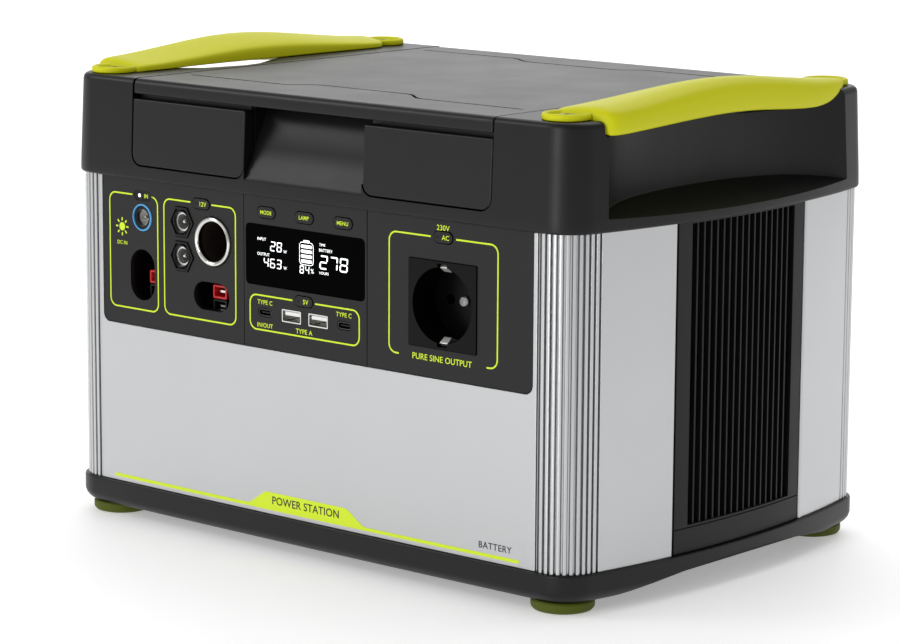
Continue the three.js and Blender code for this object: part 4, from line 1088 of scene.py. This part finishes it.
# %% Display contents
lit = number("28", -25.1, 163.6, 3.6, 5.2, 0.6, 4.7) + number("463", -30.0, 154.6, 3.6, 5.0, 0.6, 4.7)
lit += number("278", 10.5, 158.0, 5.6, 7.4, 0.85, 7.1) + number("84", -3.7, 154.2, 2.9, 4.2, 0.5, 3.9)
lit += [slab(rounded(-2.7, 160.0 + 2.6 * i, 5.3, 161.7 + 2.6 * i, 0.8, 4), 0.2, 0.32) for i in range(4)]
outer = rounded(-3.6, 159.0, 6.2, 170.8, 1.9, 6)
lit.append(band(outer + outer[:1], 0.3, 0.2))
lit.append(slab(rounded(-0.9, 170.7, 3.5, 172.0, 0.5, 3), 0.2, 0.32))
lit = [([(x, y if y > 0.19 else 0.2, z) for x, y, z in verts], faces) for verts, faces in lit]
printed("display_segments", lit, segment_white)
for text, x, z, cap in (("INPUT", -34.5, 169.4, 1.6), ("W", -15.3, 164.3, 1.6), ("OUTPUT", -34.5, 161.4, 1.6),
                        ("W", -15.3, 155.6, 1.6), ("%", 4.3, 156.2, 2.4), ("BATTERY", 10.3, 168.0, 1.6),
                        ("TIME", 10.5, 170.8, 1.4), ("HOURS", 10.5, 156.0, 1.4)):
    words(text, x, z, cap, segment_white, depth=0.2, align="LEFT")
print("lit shapes:", len(lit))

# %% [markdown]
# ## Inside
# The compartment under the lid and what the case holds: cells in a strapped pack, boards with
# their components, a wound transformer, a finned heat sink and the two fans. Most of it is seen
# only when the case is opened up, so it is kept simple. The fans show through the slats, and their
# blades are twisted, so that each one catches the light differently.

# %% Compartment and charging module
tray = make("compartment_tray_look", box(-117.5, -103.5, 196, 117.5, 111.5, 238.2))
carve(tray, box(-115, -101, 198, 115, 109, 260))
rounded_edges(tray, 1.0, 3)
dress(tray, shell_black, nodes=["compartment_tray"])
ribs = [box(-112 + 14 * i, -98, 197.6, -110.6 + 14 * i, 6, 198.9) for i in range(17)]
dress(rounded_edges(make("tray_ribs", *ribs), 0.25), shell_black)
module = make("expansion_module_look", box(22, 10, 198.4, 112, 96, 230))
rounded_edges(module, 2.4, 4)
carve(module, box(28, 16, 229.2, 106, 70, 240), moved(turned([(5.4, 222), (5.4, 240)], 40), 67, 60),
      moved(turned([(5.4, 0), (5.4, 14)], 40), 48, 22, 214, FORWARD),
      *[moved(turned([(4, 226), (4, 240)], 32), x, 88) for x in (30, 104)])
rounded_edges(module, 0.3, 2)
dress(module, panel_black, nodes=["expansion_module"])
cap = [(0, 223.6), (4.6, 223.6), (4.8, 224), (4.8, 229.6), (4.3, 230.4), (3.4, 230.7), (0, 230.5)]
dress(make("pair_button_look", moved(turned(cap, 40), 67, 60)), lime_plastic, "pairing_button",
      ["pair_button"])
inlet_pin = turned([(0, 0), (1.1, 0), (1.1, 9), (0.6, 10), (0, 10)], 20)
dress(make("module_pin", moved(inlet_pin, 48, 21.5, 214, FORWARD)), bright_steel)
print("compartment done")

# %% Battery, boards and power parts
cells = [box(-138 + 34.6 * i, -58, 19.5, -105.4 + 34.6 * i, 102, 106) for i in range(8)]
dress(rounded_edges(make("battery_cells", *cells), 2.2, 3), wrap_blue, nodes=["battery_pack"])
straps = [box(-139.4, y, 18.2, 139.4, y + 9, 19.2) for y in (-40, 20, 76)]
straps += [box(-139.4, y, 106.3, 139.4, y + 9, 107.3) for y in (-40, 20, 76)]
dress(rounded_edges(make("battery_straps", *straps), 0.2), panel_black)


def board(name, corner0, corner1, node, upright):
    """A circuit board with rows of packages and capacitors on it."""
    base = make(name, box(*corner0, *corner1))
    dress(rounded_edges(base, 0.2), board_green, nodes=[node])
    parts = []
    x0, y0, z0 = corner0
    x1, y1, z1 = corner1
    can = turned([(0, z1 + 0.05), (4.6, z1 + 0.05), (5, z1 + 0.6), (5, z1 + 14), (4.4, z1 + 14.6),
                  (0, z1 + 14.4)], 24)
    for i in range(9):
        for j in range(3):
            u, v = (i + 0.7) / 10, (j + 0.6) / 3.6
            if upright:
                x, z = x0 + (x1 - x0) * u, z0 + (z1 - z0) * v
                parts.append(box(x, y0 - 2.2, z, x + 9 - 2 * j, y0 - 0.05, z + 6))
            else:
                x, y = x0 + (x1 - x0) * u, y0 + (y1 - y0) * v * 0.45
                parts.append(moved(can, x, y + 12))
    dress(rounded_edges(make(name + "_parts", *parts), 0.2), port_black, angle=40)


board("battery_board_look", (-120, -74, 20), (120, -72.4, 100), "battery_board", True)
board("inverter_board_look", (-140, -76, 114), (140, 104, 115.6), "inverter_board", False)
board("display_board_look", (-42, -112.2, 126), (43, -110.6, 189), "display_board", True)
fins = [box(-110, 30 + 4 * i, 122, -10, 31.4 + 4 * i, 160) for i in range(13)]
dress(rounded_edges(make("heat_sink_look", box(-110, 30, 116, -10, 80, 122.2), *fins), 0.3), sheet_alu,
      nodes=["heat_sink"])
print("power parts placed; fins:", len(fins))

# %% Wound transformer and hinge pin
TURNS, AROUND = 48, 24
coil = []
for i in range(TURNS):
    a = 2 * math.pi * i / TURNS
    for k in range(AROUND):
        b = 2 * math.pi * k / AROUND
        r = 25 + 12.6 * math.cos(b)
        coil.append((r * math.cos(a), r * math.sin(a), 138 + 21 * math.sin(b) * (1 + 0.02 * (i % 2))))
coil_faces = [(i * AROUND + k, i * AROUND + (k + 1) % AROUND,
               (i + 1) % TURNS * AROUND + (k + 1) % AROUND, (i + 1) % TURNS * AROUND + k)
              for i in range(TURNS) for k in range(AROUND)]
dress(make("transformer_look", moved((coil, coil_faces), 70, 50)), winding, nodes=["transformer"])
pin = turned([(0, -137.6), (1.2, -137.6), (1.4, -137.2), (1.4, 137.2), (1.2, 137.6), (0, 137.6)], 32)
dress(make("hinge_pin_look", moved(pin, 0, HINGE_Y, HINGE_Z, ALONG_X)), screw_steel, nodes=["hinge_pin"])

print("turns in the winding:", TURNS)

# %% Fans
FAN_Z = 112
hub_profile = [(0, -8), (14.2, -8), (15, -7), (15, 7), (14.2, 8), (0, 8)]
for side, sx in (("left", -1), ("right", 1)):
    x0 = 158 if sx > 0 else -183
    frame_box = make(f"fan_frame_{side}_look", box(x0, -47, 65, x0 + 25, 47, 159))
    rounded_edges(frame_box, 3, 3)
    duct = moved(turned([(44, -2), (44, 27)], 72), x0, 0, FAN_Z, ALONG_X)
    carve(frame_box, duct)
    struts = [moved(turned([(14, 0), (14, 3)], 40), x0 if sx > 0 else x0 + 22, 0, FAN_Z, ALONG_X)]
    strut_x0, strut_x1 = (x0 + 0.2, x0 + 3.0) if sx > 0 else (x0 + 22, x0 + 24.8)
    for i in range(4):
        turn = Matrix.Rotation(math.radians(90 * i + 45), 4, "X")
        struts.append(moved(box(strut_x0, -1.6, 12, strut_x1, 1.6, 44.5), 0, 0, FAN_Z, turn))
    whole = fused(f"fan_frame_{side}_all", [frame_box, rounded_edges(make("struts", *struts), 0.3)])
    dress(whole, fan_black, nodes=[f"fan_frame_{side}"])
    hub_x = sx * 172.5
    blades = [moved(turned(hub_profile, 40), hub_x, 0, FAN_Z, ALONG_X)]
    for i in range(7):
        rows = []
        for k in range(9):
            r, twist = 14.4 + 26.6 * k / 8, math.radians(52 - 22 * k / 8)
            ring_points = []
            for u, v in ((-1, -0.6), (0, -1.1), (1, -0.6), (1, 0.6), (0, 1.1), (-1, 0.6)):
                wide, thick = u * (7.6 + 3.2 * k / 8), v * 0.75
                ring_points.append((wide * math.cos(twist) - thick * math.sin(twist),
                                    wide * math.sin(twist) + thick * math.cos(twist) + 1.5 * k / 8, r))
            rows.append(ring_points)
        blades.append(moved(stack(rows), hub_x, 0, FAN_Z, Matrix.Rotation(2 * math.pi * i / 7, 4, "X")))
    dress(make(f"fan_impeller_{side}_look", *blades), impeller_black, f"impeller_{side}",
          [f"fan_impeller_{side}"])
